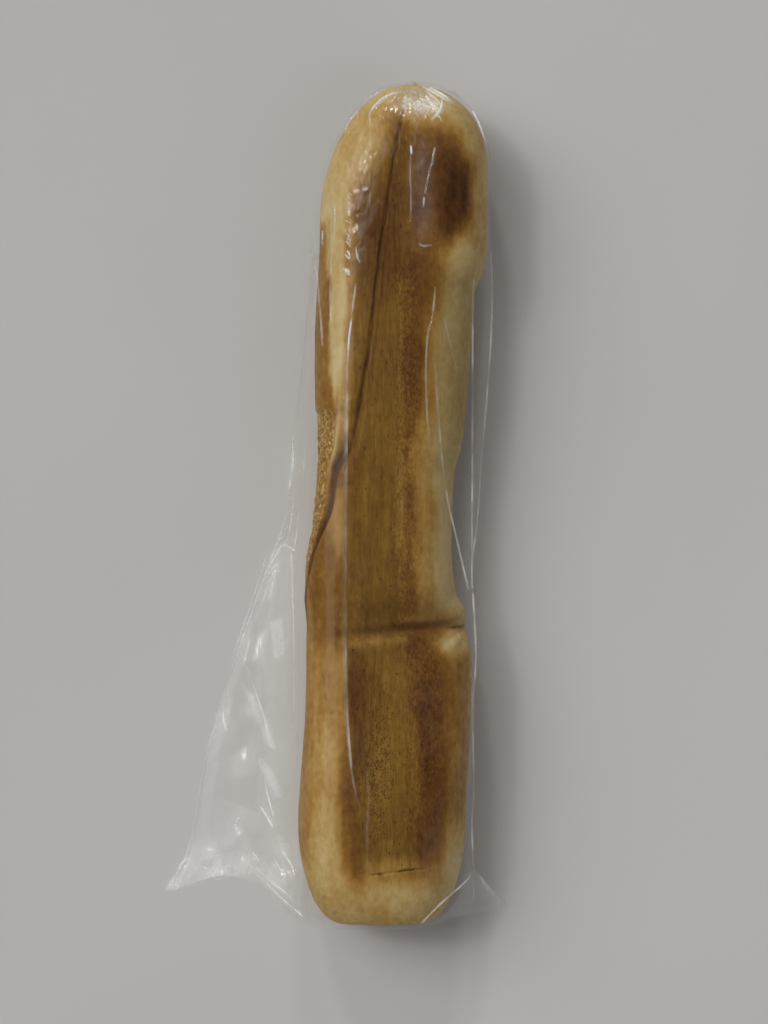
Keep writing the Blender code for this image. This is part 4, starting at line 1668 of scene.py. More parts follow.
    def neck(self, last: np.ndarray) -> np.ndarray:
        """Sections that draw the top end's tip together into the gathered mouth.

        Args:
            last: The film's last section.

        Returns:
            Array of (station, column, xyz).
        """
        mouth_x, mouth_z, radius = self.mouth
        over = np.linspace(np.pi, 0, self.half + 1)
        turn = np.concatenate([over, np.linspace(0, -np.pi, self.around - self.half + 1)[1:-1]])
        pleat = 1 + 0.16 * np.abs((turn * 9 / np.pi) % 2 - 1)
        ring = np.column_stack(
            [
                mouth_x + radius * pleat * np.cos(turn),
                np.full(len(turn), LOAF_LENGTH + self.grow_points[-1][1] + 0.5),
                mouth_z + radius * pleat * np.sin(turn),
            ]
        )
        shares = (0.3, 0.6, 0.85, 1.0)
        return np.array([last + (ring - last) * share for share in shares])

    def wing_share(self, rings: np.ndarray) -> np.ndarray:
        """How far each point belongs to the wing, from 0 at its root to 1.

        Args:
            rings: Array of (station, column, xyz).

        Returns:
            Shares from 0 to 1.
        """
        column = np.arange(rings.shape[1])
        from_tip = np.minimum(column, self.around - column) / self.wing_columns
        return eased((1 - from_tip) * 5)[None, :] * eased((-43.0 - rings[..., 0]) / 9.0)

    def relief(self, rings: np.ndarray) -> np.ndarray:
        """How far folds and creases stand off the smooth film.

        Args:
            rings: The film's sections.

        Returns:
            Heights along the outward direction, never negative.
        """
        x, y, z = rings[..., 0], rings[..., 1], rings[..., 2]
        column = np.arange(self.around)
        from_tip = np.minimum(column, self.around - column) / self.wing_columns
        wing = self.wing_share(rings)
        folded = wing * eased(from_tip * 6)[None, :] * (column <= self.half)[None, :]
        height = 0.30 * self.body_crumple(rings) * (1 - wing)
        height = height + 0.45 * self.crinkles(rings) * self.fine_crumple(rings) * (1 - wing)
        turn = np.arctan2(z - self.mouth[1], x - self.mouth[0]) + 0.02 * (y - 380)
        pleats = np.abs((turn * 12 / np.pi) % 2 - 1) * eased((y - 384) / 32)
        height = height + 0.5 * pleats * eased((LOAF_LENGTH + 3 - y) / 3)
        height = height + 4.2 * folded * self.wing_crumple(rings)
        hem = folded * eased((40 - y) / 24)
        return height + 3.4 * hem * self.hem_crumple(rings)

    def crinkles(self, rings: np.ndarray) -> np.ndarray:
        """Where the film is finely crinkled: the top end, the upper left, the ear and the hem.

        Args:
            rings: Array of (station, column, xyz).

        Returns:
            Shares from 0 to 1.
        """
        x, y = rings[..., 0], rings[..., 1]
        spots = eased((y - 374) / 24)
        for share, middle, reach in self.crinkled_spots:
            spots = spots + share * patch(x, y, middle, reach, 3)
        return np.clip(spots, 0, 1)

    def crinkled(self, rings: np.ndarray) -> np.ndarray:
        """How strongly each point's surface is crinkled, for the film's finish.

        Args:
            rings: Array of (station, column, xyz).

        Returns:
            Shares from 0 to 1.
        """
        x, y = rings[..., 0], rings[..., 1]
        wing = self.wing_share(rings)
        spots = 0.75 * self.crinkles(rings) + 0.10 * wing
        spots = spots + 0.75 * wing * eased((36 - y) / 18)
        spots = spots + 0.55 * patch(x, y, (-14, 372), (11, 34), 3)
        spots = spots + 0.45 * patch(x, y, (13, 408), (15, 9), 3)
        for crossing in self.crossings:
            spots = spots + 0.5 * patch(x, y, crossing, (5, 7))
        return np.clip(0.07 + spots, 0, 1)

    def milk_and_sheen_share(self, rings: np.ndarray) -> np.ndarray:
        """How hazy the film is: more on the doubled wing and some of its facets, at the ear and the
        top end, with a painted glint and painted reflection veils.

        Args:
            rings: Array of (station, column, xyz).

        Returns:
            Shares from 0 to 1.
        """
        x, y = rings[..., 0], rings[..., 1]
        wing = self.wing_share(rings)
        milk_and_sheen = 0.004 + 0.055 * wing + 0.10 * wing * eased((40 - y) / 26)
        for pane in self.wing_panes:
            milk_and_sheen = milk_and_sheen + 0.13 * wing * inside_of(x, y, pane, 0.7)
        milk_and_sheen = milk_and_sheen + 0.08 * eased((x - 44) / 8) * eased((34 - y) / 10)
        milk_and_sheen = milk_and_sheen + 0.04 * eased((y - 408) / 10)
        # Painted highlight: a ribbed bright glint where the top end catches the light.
        glint = patch(x, y, (15.2, 408.0), (7.6, 4.2), 2.4)
        glint = glint * (1 - 0.9 * patch(x, y, (11.0, 405.0), (3.6, 3.0), 2.4))
        ribs = np.abs(np.sin(1.7 * x + 1.1 * y + 2.4 * np.sin(0.8 * x - 1.5 * y)))
        milk_and_sheen = milk_and_sheen + 1.25 * glint * (0.45 + 0.75 * ribs)
        # Painted reflection: faint hazy veils where slack film reflects the room.
        milk_and_sheen = milk_and_sheen + 0.05 * patch(x, y, (18, 365), (5.5, 25), 3)
        return np.clip(milk_and_sheen + 0.04 * patch(x, y, (-12, 362), (5, 15), 3), 0, 0.97)

    def build(self, place: FootFrame, finish: Material) -> Object:
        """Build the bag's skin.

        Args:
            place: Where the loaf's frame lies.
            finish: The film's material.

        Returns:
            The film as one piece.
        """
        rings = []
        for y in self.stations():
            ring = self.columns(y)
            self.pull_wing(ring, y)
            self.pull_ear(ring, y)
            rings.append(ring)
        rings = np.array(rings)
        height = self.relief(rings)
        normals = skin_normals(rings)
        flat = self.in_air(rings)
        normals = normals * (1 - flat) + np.array([0, 0, 1.0]) * flat
        rings = rings + normals * height[..., None]
        rings[..., 2] = np.maximum(rings[..., 2], 0.0)
        self.rows = rings
        rings = np.concatenate([rings, self.neck(rings[-1])])
        milk_and_sheen = self.milk_and_sheen_share(rings)
        stations, columns = rings.shape[:2]
        faces = skin_faces(stations, columns)
        across = self.hidden_columns / self.shown_columns
        last = self.wing_columns + self.shown_columns
        under = [
            k if k <= self.wing_columns
            else k - last + self.wing_columns + self.hidden_columns if k >= last
            else self.wing_columns + round((k - self.wing_columns) * across)
            for k in range(self.half + 1)
        ]
        for k in range(self.half):
            upper = [k, k + 1]
            lower = [(columns - under[k + 1]) % columns, (columns - under[k]) % columns]
            faces.append(tuple(dict.fromkeys(upper + lower))[::-1])
        mesh = bpy.data.meshes.new("film_bag")
        mesh.from_pydata(place.metres(rings.reshape(-1, 3)).tolist(), [], faces)
        piece = make_film("film_bag", mesh, finish, milk_and_sheen.ravel(), self.crinkled(rings).ravel())
        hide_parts("bag")
        return piece

    def in_air(self, rings: np.ndarray) -> np.ndarray:
        """Share by which a point belongs to the flat wing, whose folds rise straight up."""
        return eased((-46.0 - rings[..., 0]) / 8.0)[..., None]

    def height_at(self, x: float, y: float) -> float:
        """Height of the film's shown side over a place.

        Args:
            x: Place across.
            y: Place along.

        Returns:
            The height.
        """
        upper = self.rows[:, : self.half + 1]
        station = upper[:, self.half // 2, 1]
        k = int(np.clip(np.searchsorted(station, y) - 1, 0, len(station) - 2))
        share = np.clip((y - station[k]) / (station[k + 1] - station[k]), 0, 1)
        low, high = (np.interp(x, upper[n, :, 0], upper[n, :, 2]) for n in (k, k + 1))
        return float(low + share * (high - low))


@dataclass(frozen=True)
class Pleat:
    """One narrow fold lying on the film: its path from above, its width and its brightness, a hazy
    share that on the brightest folds paints a highlight.
    """

    path: Points
    width: float
    bright: float = 0.3


@dataclass
class FilmPleats:
    """Narrow folds of film lying on the bag, each a flattened tube along its path."""

    bag: FilmBag
    step: float = 1.0
    corners: int = 8
    unit_width: float = 0.5
    flatness: float = 0.3
    slim: float = 0.72
    dim: float = 0.68
    fan_centre: tuple = (15.0, 421.0)
    # The bright folds paint highlight streaks and glints; the faint ones are hazy fold lines.
    pleats: tuple[Pleat, ...] = (
        Pleat(
            (
                (-14, 62), (-17.5, 81), (-19.8, 104), (-21, 133),
                (-21.3, 168), (-20.6, 222), (-20.4, 285),
            ),
            2.8, 0.09,
        ),
        Pleat(
            (
                (-17.0, 80), (-19.0, 104), (-19.9, 133),
                (-20.1, 168), (-19.6, 222), (-19.2, 283),
            ),
            0.55, 0.20,
        ),
        Pleat(((-25.6, 360), (-25.3, 352), (-25.9, 343)), 1.0, 1.0),
        Pleat(((-25.9, 343), (-27.2, 331), (-27.8, 314), (-27.3, 300)), 0.6, 0.55),
        Pleat(((-36.5, 333), (-34.5, 325), (-33.4, 312), (-32.2, 298), (-31.8, 289)), 0.7, 0.75),
        Pleat(((-31.7, 347.5), (-31.9, 339.5)), 1.1, 0.9),
        Pleat(((-36.0, 346), (-38.6, 337.5)), 0.8, 0.8),
        Pleat(((-15.0, 338), (-14.3, 333), (-12.7, 329.5)), 0.7, 0.4),
        Pleat(((-14.8, 320), (-16.4, 309), (-17.4, 300), (-18.6, 289), (-18.9, 281)), 0.7, 0.75),
        Pleat(((12.3, 388), (12.5, 386), (12.6, 383.5)), 1.1, 0.9),
        Pleat(((12.3, 383), (11.9, 374), (12.4, 362), (12.0, 350)), 0.7, 0.10),
        Pleat(((24.2, 387), (23.2, 382), (22.8, 378)), 1.3, 0.45),
        Pleat(((22.4, 379), (20.8, 372), (19.2, 364)), 0.8, 0.20),
        Pleat(((18.8, 362.4), (18.7, 360), (18.4, 357)), 0.9, 0.8),
        Pleat(((16.2, 339.4), (18.4, 338.0), (22.6, 338.6)), 0.5, 0.3),
        Pleat(
            (
                (-49.6, 212), (-51.6, 203), (-56.5, 189),
                (-62.0, 174), (-70.0, 152), (-78.2, 129),
            ),
            0.8, 0.40,
        ),
        Pleat(((-48.1, 243), (-47.6, 232), (-49.4, 221), (-50.8, 213)), 1.2, 0.9),
        Pleat(((-41.5, 236), (-42.3, 222), (-44.6, 206), (-46.5, 188)), 0.8, 0.45),
        Pleat(((-51.4, 197), (-55.0, 186.4), (-58.6, 180.6), (-62.2, 174.2)), 1.2, 0.9),
        Pleat(((-48.0, 206), (-49.4, 198), (-53.0, 190.6), (-57.2, 184.6)), 1.0, 0.6),
        Pleat(((-60.4, 187), (-66.4, 168), (-73.6, 147), (-79.4, 130.4)), 0.6, 0.25),
        Pleat(((-72.0, 128), (-66.0, 112), (-61.4, 98), (-58.6, 86)), 1.2, 0.35),
        Pleat(((-62.0, 70), (-59.6, 60), (-57.0, 52)), 0.9, 0.5),
        Pleat(((-86.1, 26.3), (-83.6, 23.8), (-79.6, 25.4), (-76.0, 22.4)), 1.3, 0.9),
        Pleat(((-89.6, 21.0), (-85.8, 18.0), (-80.6, 19.6), (-74.6, 16.0)), 1.1, 0.7),
        Pleat(((-66.0, 24.6), (-58.6, 18.8), (-50.4, 13.6), (-45.6, 9.4)), 1.5, 0.8),
        Pleat(((-57.0, 30.6), (-53.4, 25.0), (-50.6, 17.6)), 1.1, 0.6),
        Pleat(((-106.8, 23.0), (-104.4, 26.4), (-101.8, 28.6)), 1.4, 0.9),
        Pleat(
            (
                (-78.2, 129), (-84.0, 110), (-89.8, 90),
                (-92.6, 80), (-96.0, 62), (-99.4, 42),
            ),
            0.8, 0.26,
        ),
        Pleat(((-99.4, 42), (-101.6, 33), (-105.4, 24), (-113.2, 13)), 0.9, 0.35),
        Pleat(
            (
                (24.4, 318), (23.2, 305), (20.4, 292),
                (19.7, 275), (20.2, 258), (21.4, 243),
            ),
            0.6, 0.5,
        ),
        Pleat(((24.1, 281), (27.5, 236), (30.3, 214), (34.2, 197), (41.4, 167)), 0.9, 0.24),
        Pleat(((28.6, 303), (35.0, 277)), 0.6, 0.2),
        Pleat(((43.6, 322), (43.1, 298), (43.1, 230), (43.2, 168)), 0.7, 0.19),
        Pleat(
            (
                (52.4, 338), (53.4, 318), (53.0, 300), (51.3, 270),
                (48.4, 236), (46.2, 203), (43.4, 181),
            ),
            0.7, 0.18,
        ),
        Pleat(
            (
                (43.6, 166), (45.2, 133), (43.4, 110),
                (44.2, 62), (43.2, 50), (44.2, 25),
            ),
            0.7, 0.32,
        ),
        Pleat(((-9.6, 78), (-8.7, 64), (-9.5, 46), (-8.9, 26)), 1.5, 0.05),
        Pleat(((44.2, 24.2), (34.0, 17.0), (26.0, 10.4), (17.5, 1.4)), 0.8, 0.45),
        Pleat(((44.6, 23.6), (48.2, 19.6), (52.6, 14.0), (57.6, 8.4)), 0.8, 0.40),
        Pleat(((47.2, 20.8), (49.4, 17.6), (50.8, 14.8)), 1.3, 0.9),
        Pleat(((43.4, 22.0), (44.6, 14.0), (43.0, 7.0)), 0.7, 0.22),
        Pleat(
            (
                (-7.7, 397.5), (-8.2, 404.1), (-5.2, 409.2), (-0.6, 413.3),
                (5.6, 415.5), (11.7, 416.1), (17.8, 413.8),
            ),
            1.5, 1.4,
        ),
        Pleat(
            (
                (9.6, 405.2), (8.1, 408.3), (9.6, 410.8),
                (13.7, 412.4), (19.8, 411.3), (22.9, 408.3),
            ),
            1.8, 1.5,
        ),
        Pleat(((12.6, 407.0), (17.0, 409.2), (22.0, 407.2)), 3.6, 3.2),
        Pleat(((22.9, 401.1), (27.0, 406.2), (28.0, 412.3)), 1.2, 0.9),
        Pleat(((-12.4, 411.0), (-8.8, 413.6), (-3.0, 416.6)), 0.8, 0.5),
        Pleat(((-20.6, 396.0), (-18.4, 401.6), (-14.2, 406.8)), 0.8, 0.5),
        Pleat(((28.5, 410), (26.0, 405), (22.3, 401)), 1.1, 0.8),
        Pleat(((43.4, 407.6), (47.0, 400), (49.9, 391)), 0.9, 0.85),
        Pleat(((-14.6, 407.6), (-14.0, 402.4)), 0.9, 0.7),
        Pleat(((-47.4, 243), (-48.8, 226), (-49.6, 212)), 0.9, 0.55),
        Pleat(((-42.4, 303), (-44.0, 270), (-46.8, 253), (-48.0, 236)), 0.8, 0.22),
        Pleat(((-51.0, 197.5), (-55.4, 191)), 1.2, 0.8),
        Pleat(((-55.6, 180.5), (-61.0, 173.6)), 1.1, 0.7),
        Pleat(((-53.4, 190), (-46.0, 186.6)), 0.8, 0.6),
        Pleat(((-48.4, 188), (-46.8, 150), (-46.4, 127), (-47.0, 96)), 0.8, 0.16),
        Pleat(((-83.6, 104), (-83.0, 98), (-81.6, 94)), 0.9, 0.7),
        Pleat(((-63.8, 55.6), (-60.2, 50.4), (-57.2, 45.6)), 1.0, 0.9),
        Pleat(((-74.4, 50.6), (-77.0, 46.2)), 1.0, 0.85),
        Pleat(((-69.6, 23.4), (-61.0, 17.4), (-53.0, 11.2), (-42.0, 3.4)), 1.1, 0.75),
        Pleat(((-68.2, 32.4), (-64.6, 28.0)), 1.2, 0.9),
        Pleat(((-52.6, 35.0), (-48.4, 29.6), (-45.4, 23.0)), 1.1, 0.65),
        Pleat(((-93.6, 24.6), (-88.0, 22.0), (-83.6, 24.4), (-78.0, 22.2)), 1.1, 0.7),
        Pleat(((-102.6, 25.0), (-105.6, 17.6), (-107.6, 11.6)), 1.0, 0.6),
        Pleat(((-104.0, 14.0), (-98.0, 19.6)), 0.9, 0.5),
    )

    def ladder(self) -> list[Pleat]:
        """Short slanting folds one above the other, on the upper left of the face: painted
        highlights of crinkled film.

        Returns:
            The folds.
        """
        draw = np.random.default_rng(5)
        folds = []
        for y in np.sort(draw.uniform(325, 365, 24)):
            x = -19.2 + 0.04 * (y - 327) + draw.uniform(-1.0, 1.0)
            reach, rise = draw.uniform(0.6, 2.6), draw.uniform(-4.2, -1.4)
            bow = draw.uniform(-0.5, 0.5)
            path = ((x - reach / 2, y), (x + bow, y + rise * 0.5), (x + reach / 2, y + rise))
            bold = 0.6 + 0.4 * hump(y - 335, 9)
            width = draw.uniform(0.45, 1.15) * bold
            folds.append(Pleat(path, width, draw.uniform(0.45, 1.0) * bold))
        return folds

    def fan(self) -> list[Pleat]:
        """Fine folds that run out from the gathered mouth over the top end.

        Returns:
            The folds.
        """
        draw = np.random.default_rng(9)
        folds = []
        cx, cy = self.fan_centre
        for turn in np.linspace(200, 340, 30):
            angle = math.radians(turn + draw.uniform(-2.5, 2.5))
            start, reach = draw.uniform(2.0, 6.0), draw.uniform(7.0, 21.0)
            bend = draw.uniform(-0.12, 0.12) + (0.16 if turn < 262 else -0.05)
            path = []
            for share in (0.0, 0.35, 0.7, 1.0):
                far = start + share * reach
                at = angle + bend * share * 1.6
                path.append((cx + far * math.cos(at) * 1.35, cy + far * math.sin(at)))
            folds.append(Pleat(tuple(path), draw.uniform(0.4, 0.8), draw.uniform(0.05, 0.45)))
        return folds

    def curve(self, pleat: Pleat) -> np.ndarray:
        """The pleat's path on the film.

        Args:
            pleat: The pleat.

        Returns:
            Rows of (x, y, z).
        """
        path = np.array(pleat.path, dtype=float)
        lengths = arc_lengths(path)
        places = np.linspace(0, lengths[-1], max(5, int(lengths[-1] / self.step)))
        x = SmoothLine(list(zip(lengths, path[:, 0])))(places)
        y = SmoothLine(list(zip(lengths, path[:, 1])))(places)
        z = [self.bag.height_at(*spot) + 0.12 for spot in zip(x, y)]
        return np.column_stack([x, y, z])

    def group(self, finish: Material) -> bpy.types.NodeTree:
        """The node tree that turns paths into flattened tubes of film.

        Args:
            finish: The film's material.

        Returns:
            The tree, with named inputs for its sizes.
        """
        inputs = {"Paths": "Geometry", "Pleat width": "Float", "Flatness": "Float"}
        group = GroupSheet("film_pleats", inputs, "Pleats")
        upright = group.add(
            "GeometryNodeSetCurveNormal", {"Curve": group.given["Paths"]}, mode="Z_UP"
        )
        circle = group.add(
            "GeometryNodeCurvePrimitiveCircle",
            {"Resolution": self.corners, "Radius": group.given["Pleat width"]},
        )
        scale = group.add(
            "ShaderNodeCombineXYZ", {"X": 1.0, "Y": group.given["Flatness"], "Z": 1.0}
        )
        squash = group.add(
            "GeometryNodeTransform",
            {"Geometry": circle.outputs["Curve"], "Scale": scale.outputs["Vector"]},
        )
        tube = group.add(
            "GeometryNodeCurveToMesh",
            {
                "Curve": upright.outputs["Curve"],
                "Profile Curve": squash.outputs["Geometry"],
                "Fill Caps": True,
            },
        )
        realize = group.add("GeometryNodeRealizeInstances", {"Geometry": tube.outputs["Mesh"]})
        return group.dressed(realize.outputs["Geometry"], finish)

    def build(self, place: FootFrame, finish: Material) -> Object:
        """Build the pleats as one piece.

        Args:
            place: Where the loaf's frame lies.
            finish: The film's material.

        Returns:
            The pleats.
        """
        curves = bpy.data.curves.new("pleat_paths", "CURVE")
        curves.dimensions = "3D"
        uneven = SoftNoise(61)
        milk_and_sheen = []
        for pleat in (*self.pleats, *self.ladder(), *self.fan()):
            path = self.curve(pleat)
            points = place.metres(path)
            spline = curves.splines.new("POLY")
            spline.points.add(len(points) - 1)
            ends = np.minimum(np.arange(len(points)), np.arange(len(points))[::-1])
            fade = eased((ends + 0.4) / max(1.6, min(14, len(points) / 2)))
            wide = (0.20 + 0.80 * fade) * (1 + 0.45 * uneven(path, (4, 6, 4)))
            for point, at, size in zip(spline.points, points, wide):
                point.co = (*at, 1.0)
                point.radius = self.slim * pleat.width * float(size)
            # Hazy share of each fold, which on the bright folds paints a highlight.
            bright = self.dim * pleat.bright * (0.2 + 0.8 * fade)
            bright = bright * (0.8 + 0.9 * uneven(path, (4, 6, 4)))
            milk_and_sheen.append(np.repeat(np.clip(bright, 0.02, 0.97), self.corners))
        holder = bpy.data.objects.new("pleat_paths", curves)
        bpy.context.scene.collection.objects.link(holder)
        sizes = {"Pleat width": self.unit_width * MM, "Flatness": self.flatness}
        mesh = bake_nodes(holder, self.group(finish), sizes)
        milk_and_sheen = np.concatenate(milk_and_sheen)
        piece = make_film("film_pleats", mesh, finish, milk_and_sheen, np.full(len(milk_and_sheen), 0.25))
        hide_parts("bag")
        return piece


@dataclass
class MouthKnot:
    """The bag's mouth: film gathered and twisted behind the top end, its tail bent down."""

    columns: int = 72
    pleats: int = 9
    milk_and_sheen: float = 0.16
    crinkled: float = 0.3
    path: tuple = (
        (0.0, 13.0, 422.3, 25.0), (2.0, 13.0, 423.0, 24.0), (4.5, 13.2, 423.3, 21.5),
        (9.0, 13.6, 422.6, 17.0), (14.0, 14.0, 420.8, 12.5), (19.0, 14.6, 417.8, 8.4),
        (24.0, 15.0, 413.6, 5.2),
    )
    wide: Points = ((0, 3.6), (2, 2.3), (4.5, 2.0), (9, 3.2), (14, 5.4), (19, 7.4), (24, 8.6))
    thick: Points = ((0, 3.0), (2, 1.7), (4.5, 1.3), (9, 1.2), (14, 1.0), (19, 0.8), (24, 0.5))

    def build(self, place: FootFrame, finish: Material) -> Object:
        """Build the gathered mouth and its tail.

        Args:
            place: Where the loaf's frame lies.
            finish: The film's material.

        Returns:
            The knot as one piece.
        """
        lines = [SmoothLine([(p[0], p[k]) for p in self.path]) for k in (1, 2, 3)]
        wide, thick = SmoothLine(self.wide), SmoothLine(self.thick)
        places = np.linspace(0, self.path[-1][0], 56)
        middle = np.column_stack([line(places) for line in lines])
        along = np.gradient(middle, axis=0)
        turn = np.pi - 2 * np.pi * np.arange(self.columns) / self.columns
        rings = []
        for at, centre, ahead in zip(places, middle, along):
            up = np.array([0.0, -ahead[2], ahead[1]]) / np.hypot(ahead[1], ahead[2])
            twisted = turn + 0.25 * at
            ripple = np.abs((twisted * self.pleats / np.pi) % 2 - 1) - 0.5
            size = 1 + 0.34 * ripple * eased(at / 3 + 0.3)
            across = wide(at) * np.cos(turn) * size
            rising = thick(at) * np.sin(turn) * size
            ring = centre + across[:, None] * np.array([1.0, 0, 0]) + rising[:, None] * up
            rings.append(ring)
        mesh = closed_mesh("mouth_knot", np.array(rings), place)
        milk_and_sheen, crinkled = (
            np.full(len(mesh.vertices), share) for share in (self.milk_and_sheen, self.crinkled)
        )
        piece = make_film("mouth_knot", mesh, finish, milk_and_sheen, crinkled)
        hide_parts("bag")
        return piece


@dataclass
class TornCrumbs:
    """Small crumbs standing on the torn side, scattered over its faces."""

    density: float = 90000.0
    size: float = 0.42
    seed: int = 7
    least_torn: float = 0.35
    least_stretch: tuple = (0.5, 0.5, 0.35)
    most_stretch: tuple = (1.7, 1.2, 0.9)
    dents_to_metre: float = 2600.0
    dent: float = 0.5

    def ground(self, loaf: Object) -> Object:
        """The loaf's torn faces as a mesh of their own.

        Args:
            loaf: The loaf.

        Returns:
            An object with those faces.
        """
        mesh = loaf.data
        torn = np.zeros(len(mesh.vertices), dtype=np.float32)
        mesh.attributes["torn"].data.foreach_get("value", torn)
        faces = [
            tuple(face.vertices)
            for face in mesh.polygons
            if min(torn[v] for v in face.vertices) > self.least_torn
        ]
        used = sorted({v for face in faces for v in face})
        number = {v: k for k, v in enumerate(used)}
        patch_mesh = bpy.data.meshes.new("torn_ground")
        patch_mesh.from_pydata(
            [tuple(mesh.vertices[v].co) for v in used],
            [],
            [tuple(number[v] for v in face) for face in faces],
        )
        ground = bpy.data.objects.new("torn_ground", patch_mesh)
        bpy.context.scene.collection.objects.link(ground)
        return ground

    def group(self, finish: Material) -> bpy.types.NodeTree:
        """The node tree that scatters crumbs over faces.

        Args:
            finish: The crumbs' material.

        Returns:
            The tree, with named inputs for its sizes and its seed.
        """
        inputs = {
            "Ground": "Geometry",
            "Crumbs to the square metre": "Float",
            "Crumb size": "Float",
            "Seed": "Int",
        }
        group = GroupSheet("torn_crumbs", inputs, "Crumbs")
        given = group.given
        scatter = group.add(
            "GeometryNodeDistributePointsOnFaces",
            {
                "Mesh": given["Ground"],
                "Density": given["Crumbs to the square metre"],
                "Seed": given["Seed"],
            },
        )
        ball = group.add(
            "GeometryNodeMeshIcoSphere", {"Radius": given["Crumb size"], "Subdivisions": 2}
        )
        random = "FunctionNodeRandomValue"
        turn = group.add(random, {"Max": (6.28, 6.28, 6.28)}, data_type="FLOAT_VECTOR")
        stretch = group.add(
            random, {"Min": self.least_stretch, "Max": self.most_stretch}, data_type="FLOAT_VECTOR"
        )
        place = group.add(
            "GeometryNodeInstanceOnPoints",
            {
                "Points": scatter.outputs["Points"],
                "Instance": ball.outputs["Mesh"],
                "Rotation": turn.outputs["Value"],
                "Scale": stretch.outputs["Value"],
            },
        )
        realize = group.add(
            "GeometryNodeRealizeInstances", {"Geometry": place.outputs["Instances"]}
        )
        noise = group.add("ShaderNodeTexNoise", {"Scale": self.dents_to_metre})
        centred = group.add(
            "ShaderNodeVectorMath",
            {0: noise.outputs["Color"], 1: (0.5, 0.5, 0.5)},
            operation="SUBTRACT",
        )
        scaled = group.add(
            "ShaderNodeVectorMath",
            {0: centred.outputs["Vector"], "Scale": self.dent * MM},
            operation="SCALE",
        )
        shift = group.add(
            "GeometryNodeSetPosition",
            {"Geometry": realize.outputs["Geometry"], "Offset": scaled.outputs["Vector"]},
        )
        return group.dressed(shift.outputs["Geometry"], finish)

    def build(self, loaf: Object, finish: Material) -> Object:
        """Build the crumbs as one piece.

        Args:
            loaf: The loaf they stand on.
            finish: The crumbs' material.

        Returns:
            The crumbs.
        """
        values = {
            "Crumbs to the square metre": self.density,
            "Crumb size": self.size * MM,
            "Seed": self.seed,
        }
        mesh = bake_nodes(self.ground(loaf), self.group(finish), values)
        return make_piece("torn_crumbs", mesh, finish)


def bake_nodes(holder: Object, tree: bpy.types.NodeTree, values: dict) -> bpy.types.Mesh:
    """Run a node tree on an object and keep the result as a plain mesh.

    Args:
        holder: The object that carries the tree's source; it is removed afterwards.
        tree: The node tree.
        values: Values of the tree's named inputs.

    Returns:
        The mesh.
    """
    modifier = holder.modifiers.new(tree.name, "NODES")
    modifier.node_group = tree
    for item in tree.interface.items_tree:
        if item.name in values and item.in_out == "INPUT":
            modifier[item.identifier] = values[item.name]
    bpy.context.view_layer.update()
    graph = bpy.context.evaluated_depsgraph_get()
    mesh = bpy.data.meshes.new_from_object(holder.evaluated_get(graph), depsgraph=graph)
    bpy.data.objects.remove(holder, do_unlink=True)
    return mesh


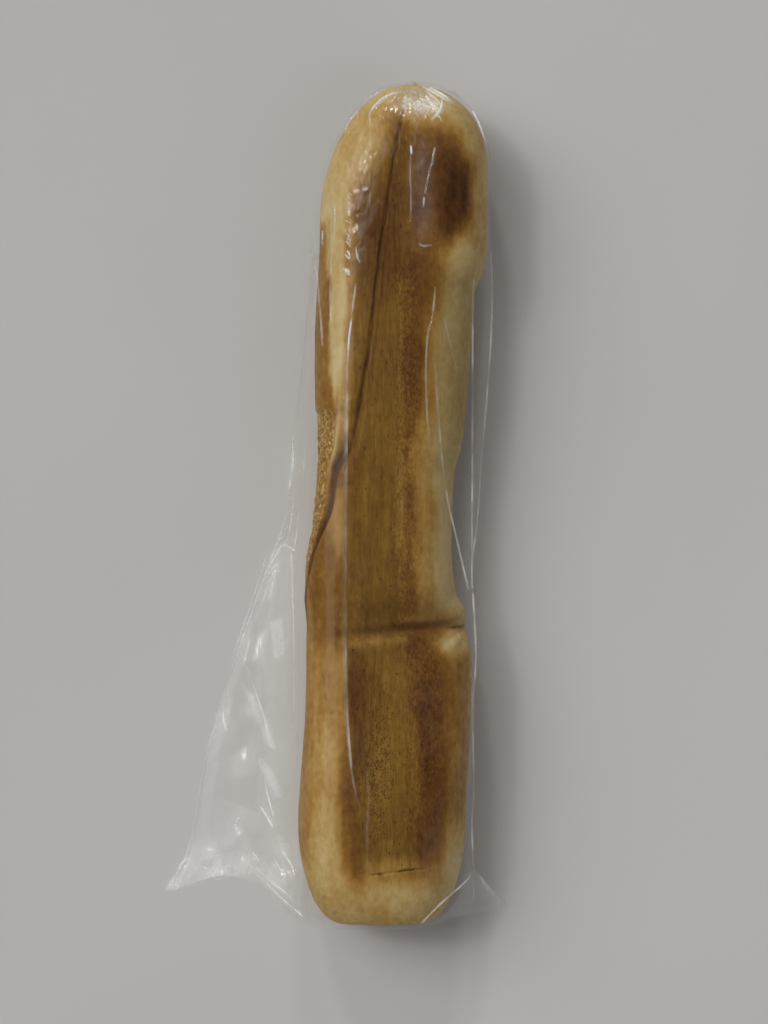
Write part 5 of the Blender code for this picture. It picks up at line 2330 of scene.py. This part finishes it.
@dataclass
class Studio:
    """Pale floor, soft light and the camera straight above."""

    floor_size: float = 8.0
    floor_drop: float = 0.0004
    view_height: float = 0.51712
    camera_off: tuple = (25.3, -4.1)
    camera_distance: float = 1.6
    lights: tuple[tuple, ...] = (
        ("near_lamp", (-1.05, 0.40, 1.00), 0.46, 40.0),
        ("left_lamp", (-0.85, 0.58, 1.00), 0.46, 40.0),
        ("right_lamp", (-0.66, 0.34, 1.00), 0.22, 8.0),
        ("far_lamp", (-0.46, 0.50, 1.00), 0.42, 40.0),
        ("crown_light", (-0.22, 0.95, 0.60), 0.30, 6.0),
        ("top_light", (0.04, 1.00, 0.42), 0.30, 6.0),
        ("foot_light", (0.62, -0.70, 0.75), 0.26, 60.0),
    )

    def build(self, finish: Material) -> None:
        """Set up the floor, the lights, the world and the camera.

        Args:
            finish: The floor's material.
        """
        half = self.floor_size / 2
        corners = [(-half, -half), (half, -half), (half, half), (-half, half)]
        mesh = bpy.data.meshes.new("floor")
        mesh.from_pydata([(x, y, -self.floor_drop) for x, y in corners], [], [(0, 1, 2, 3)])
        mesh.materials.append(finish)
        floor = bpy.data.objects.new("floor", mesh)
        bpy.context.scene.collection.objects.link(floor)
        for light in self.lights:
            self.sun(*light)
        self.sky()
        self.camera()
        LOG.info("studio: floor, %d lights and camera", len(self.lights))

    def sun(self, name: str, towards: tuple, power: float, angle: float) -> None:
        """Add a soft distant light.

        Args:
            name: The light's name.
            towards: Direction from the object to the light.
            power: Its strength.
            angle: How wide it is, in degrees.
        """
        data = bpy.data.lights.new(name, "SUN")
        data.energy, data.angle = power, math.radians(angle)
        data.color = (1.0, 0.985, 0.95)
        light = bpy.data.objects.new(name, data)
        flat = math.hypot(towards[0], towards[1])
        light.rotation_euler = (
            math.atan2(flat, towards[2]), 0.0, math.atan2(towards[0], -towards[1])
        )
        bpy.context.scene.collection.objects.link(light)

    def sky(self) -> None:
        """A pale surround, brighter low down and dimmer overhead."""
        world = bpy.data.worlds.new("pale_surround")
        world.use_nodes = True
        tree = world.node_tree
        place = tree.nodes.new("ShaderNodeTexCoord")
        split = tree.nodes.new("ShaderNodeSeparateXYZ")
        ramp = tree.nodes.new("ShaderNodeValToRGB")
        first, last = ramp.color_ramp.elements
        first.position, first.color = 0.02, (0.30, 0.30, 0.305, 1.0)
        last.position, last.color = 0.42, (0.10, 0.10, 0.103, 1.0)
        tree.links.new(place.outputs["Generated"], split.inputs[0])
        tree.links.new(split.outputs["Z"], ramp.inputs["Fac"])
        tree.links.new(ramp.outputs["Color"], tree.nodes["Background"].inputs["Color"])
        bpy.context.scene.world = world

    def camera(self) -> None:
        """Add the camera, looking straight down with the loaf's top end up."""
        data = bpy.data.cameras.new("camera")
        data.sensor_fit = "VERTICAL"
        data.sensor_height = 36.0
        data.lens = data.sensor_height * self.camera_distance / self.view_height
        data.clip_end = 50.0
        camera = bpy.data.objects.new("camera", data)
        camera.location = (
            self.camera_off[0] * MM,
            self.camera_off[1] * MM,
            LOAF_MIDDLE * MM + self.camera_distance,
        )
        bpy.context.scene.collection.objects.link(camera)
        bpy.context.scene.camera = camera


def main() -> None:
    """Build every piece in order and set up the studio."""
    bpy.context.scene.view_settings.view_transform = "Standard"
    form = LoafForm()
    bag = FilmBag(form)
    place = FootFrame.from_model(bag.wing_points[0][1])
    crust = CrustFinish().build()
    film = FilmFinish().build()
    loaf = Loaf(form).build(place, crust)
    TornCrumbs().build(loaf, CrumbFinish().build())
    bag.build(place, film)
    FilmPleats(bag).build(place, film)
    MouthKnot().build(place, film)
    Studio().build(FloorFinish().build())


if __name__ == "__main__":
    main()
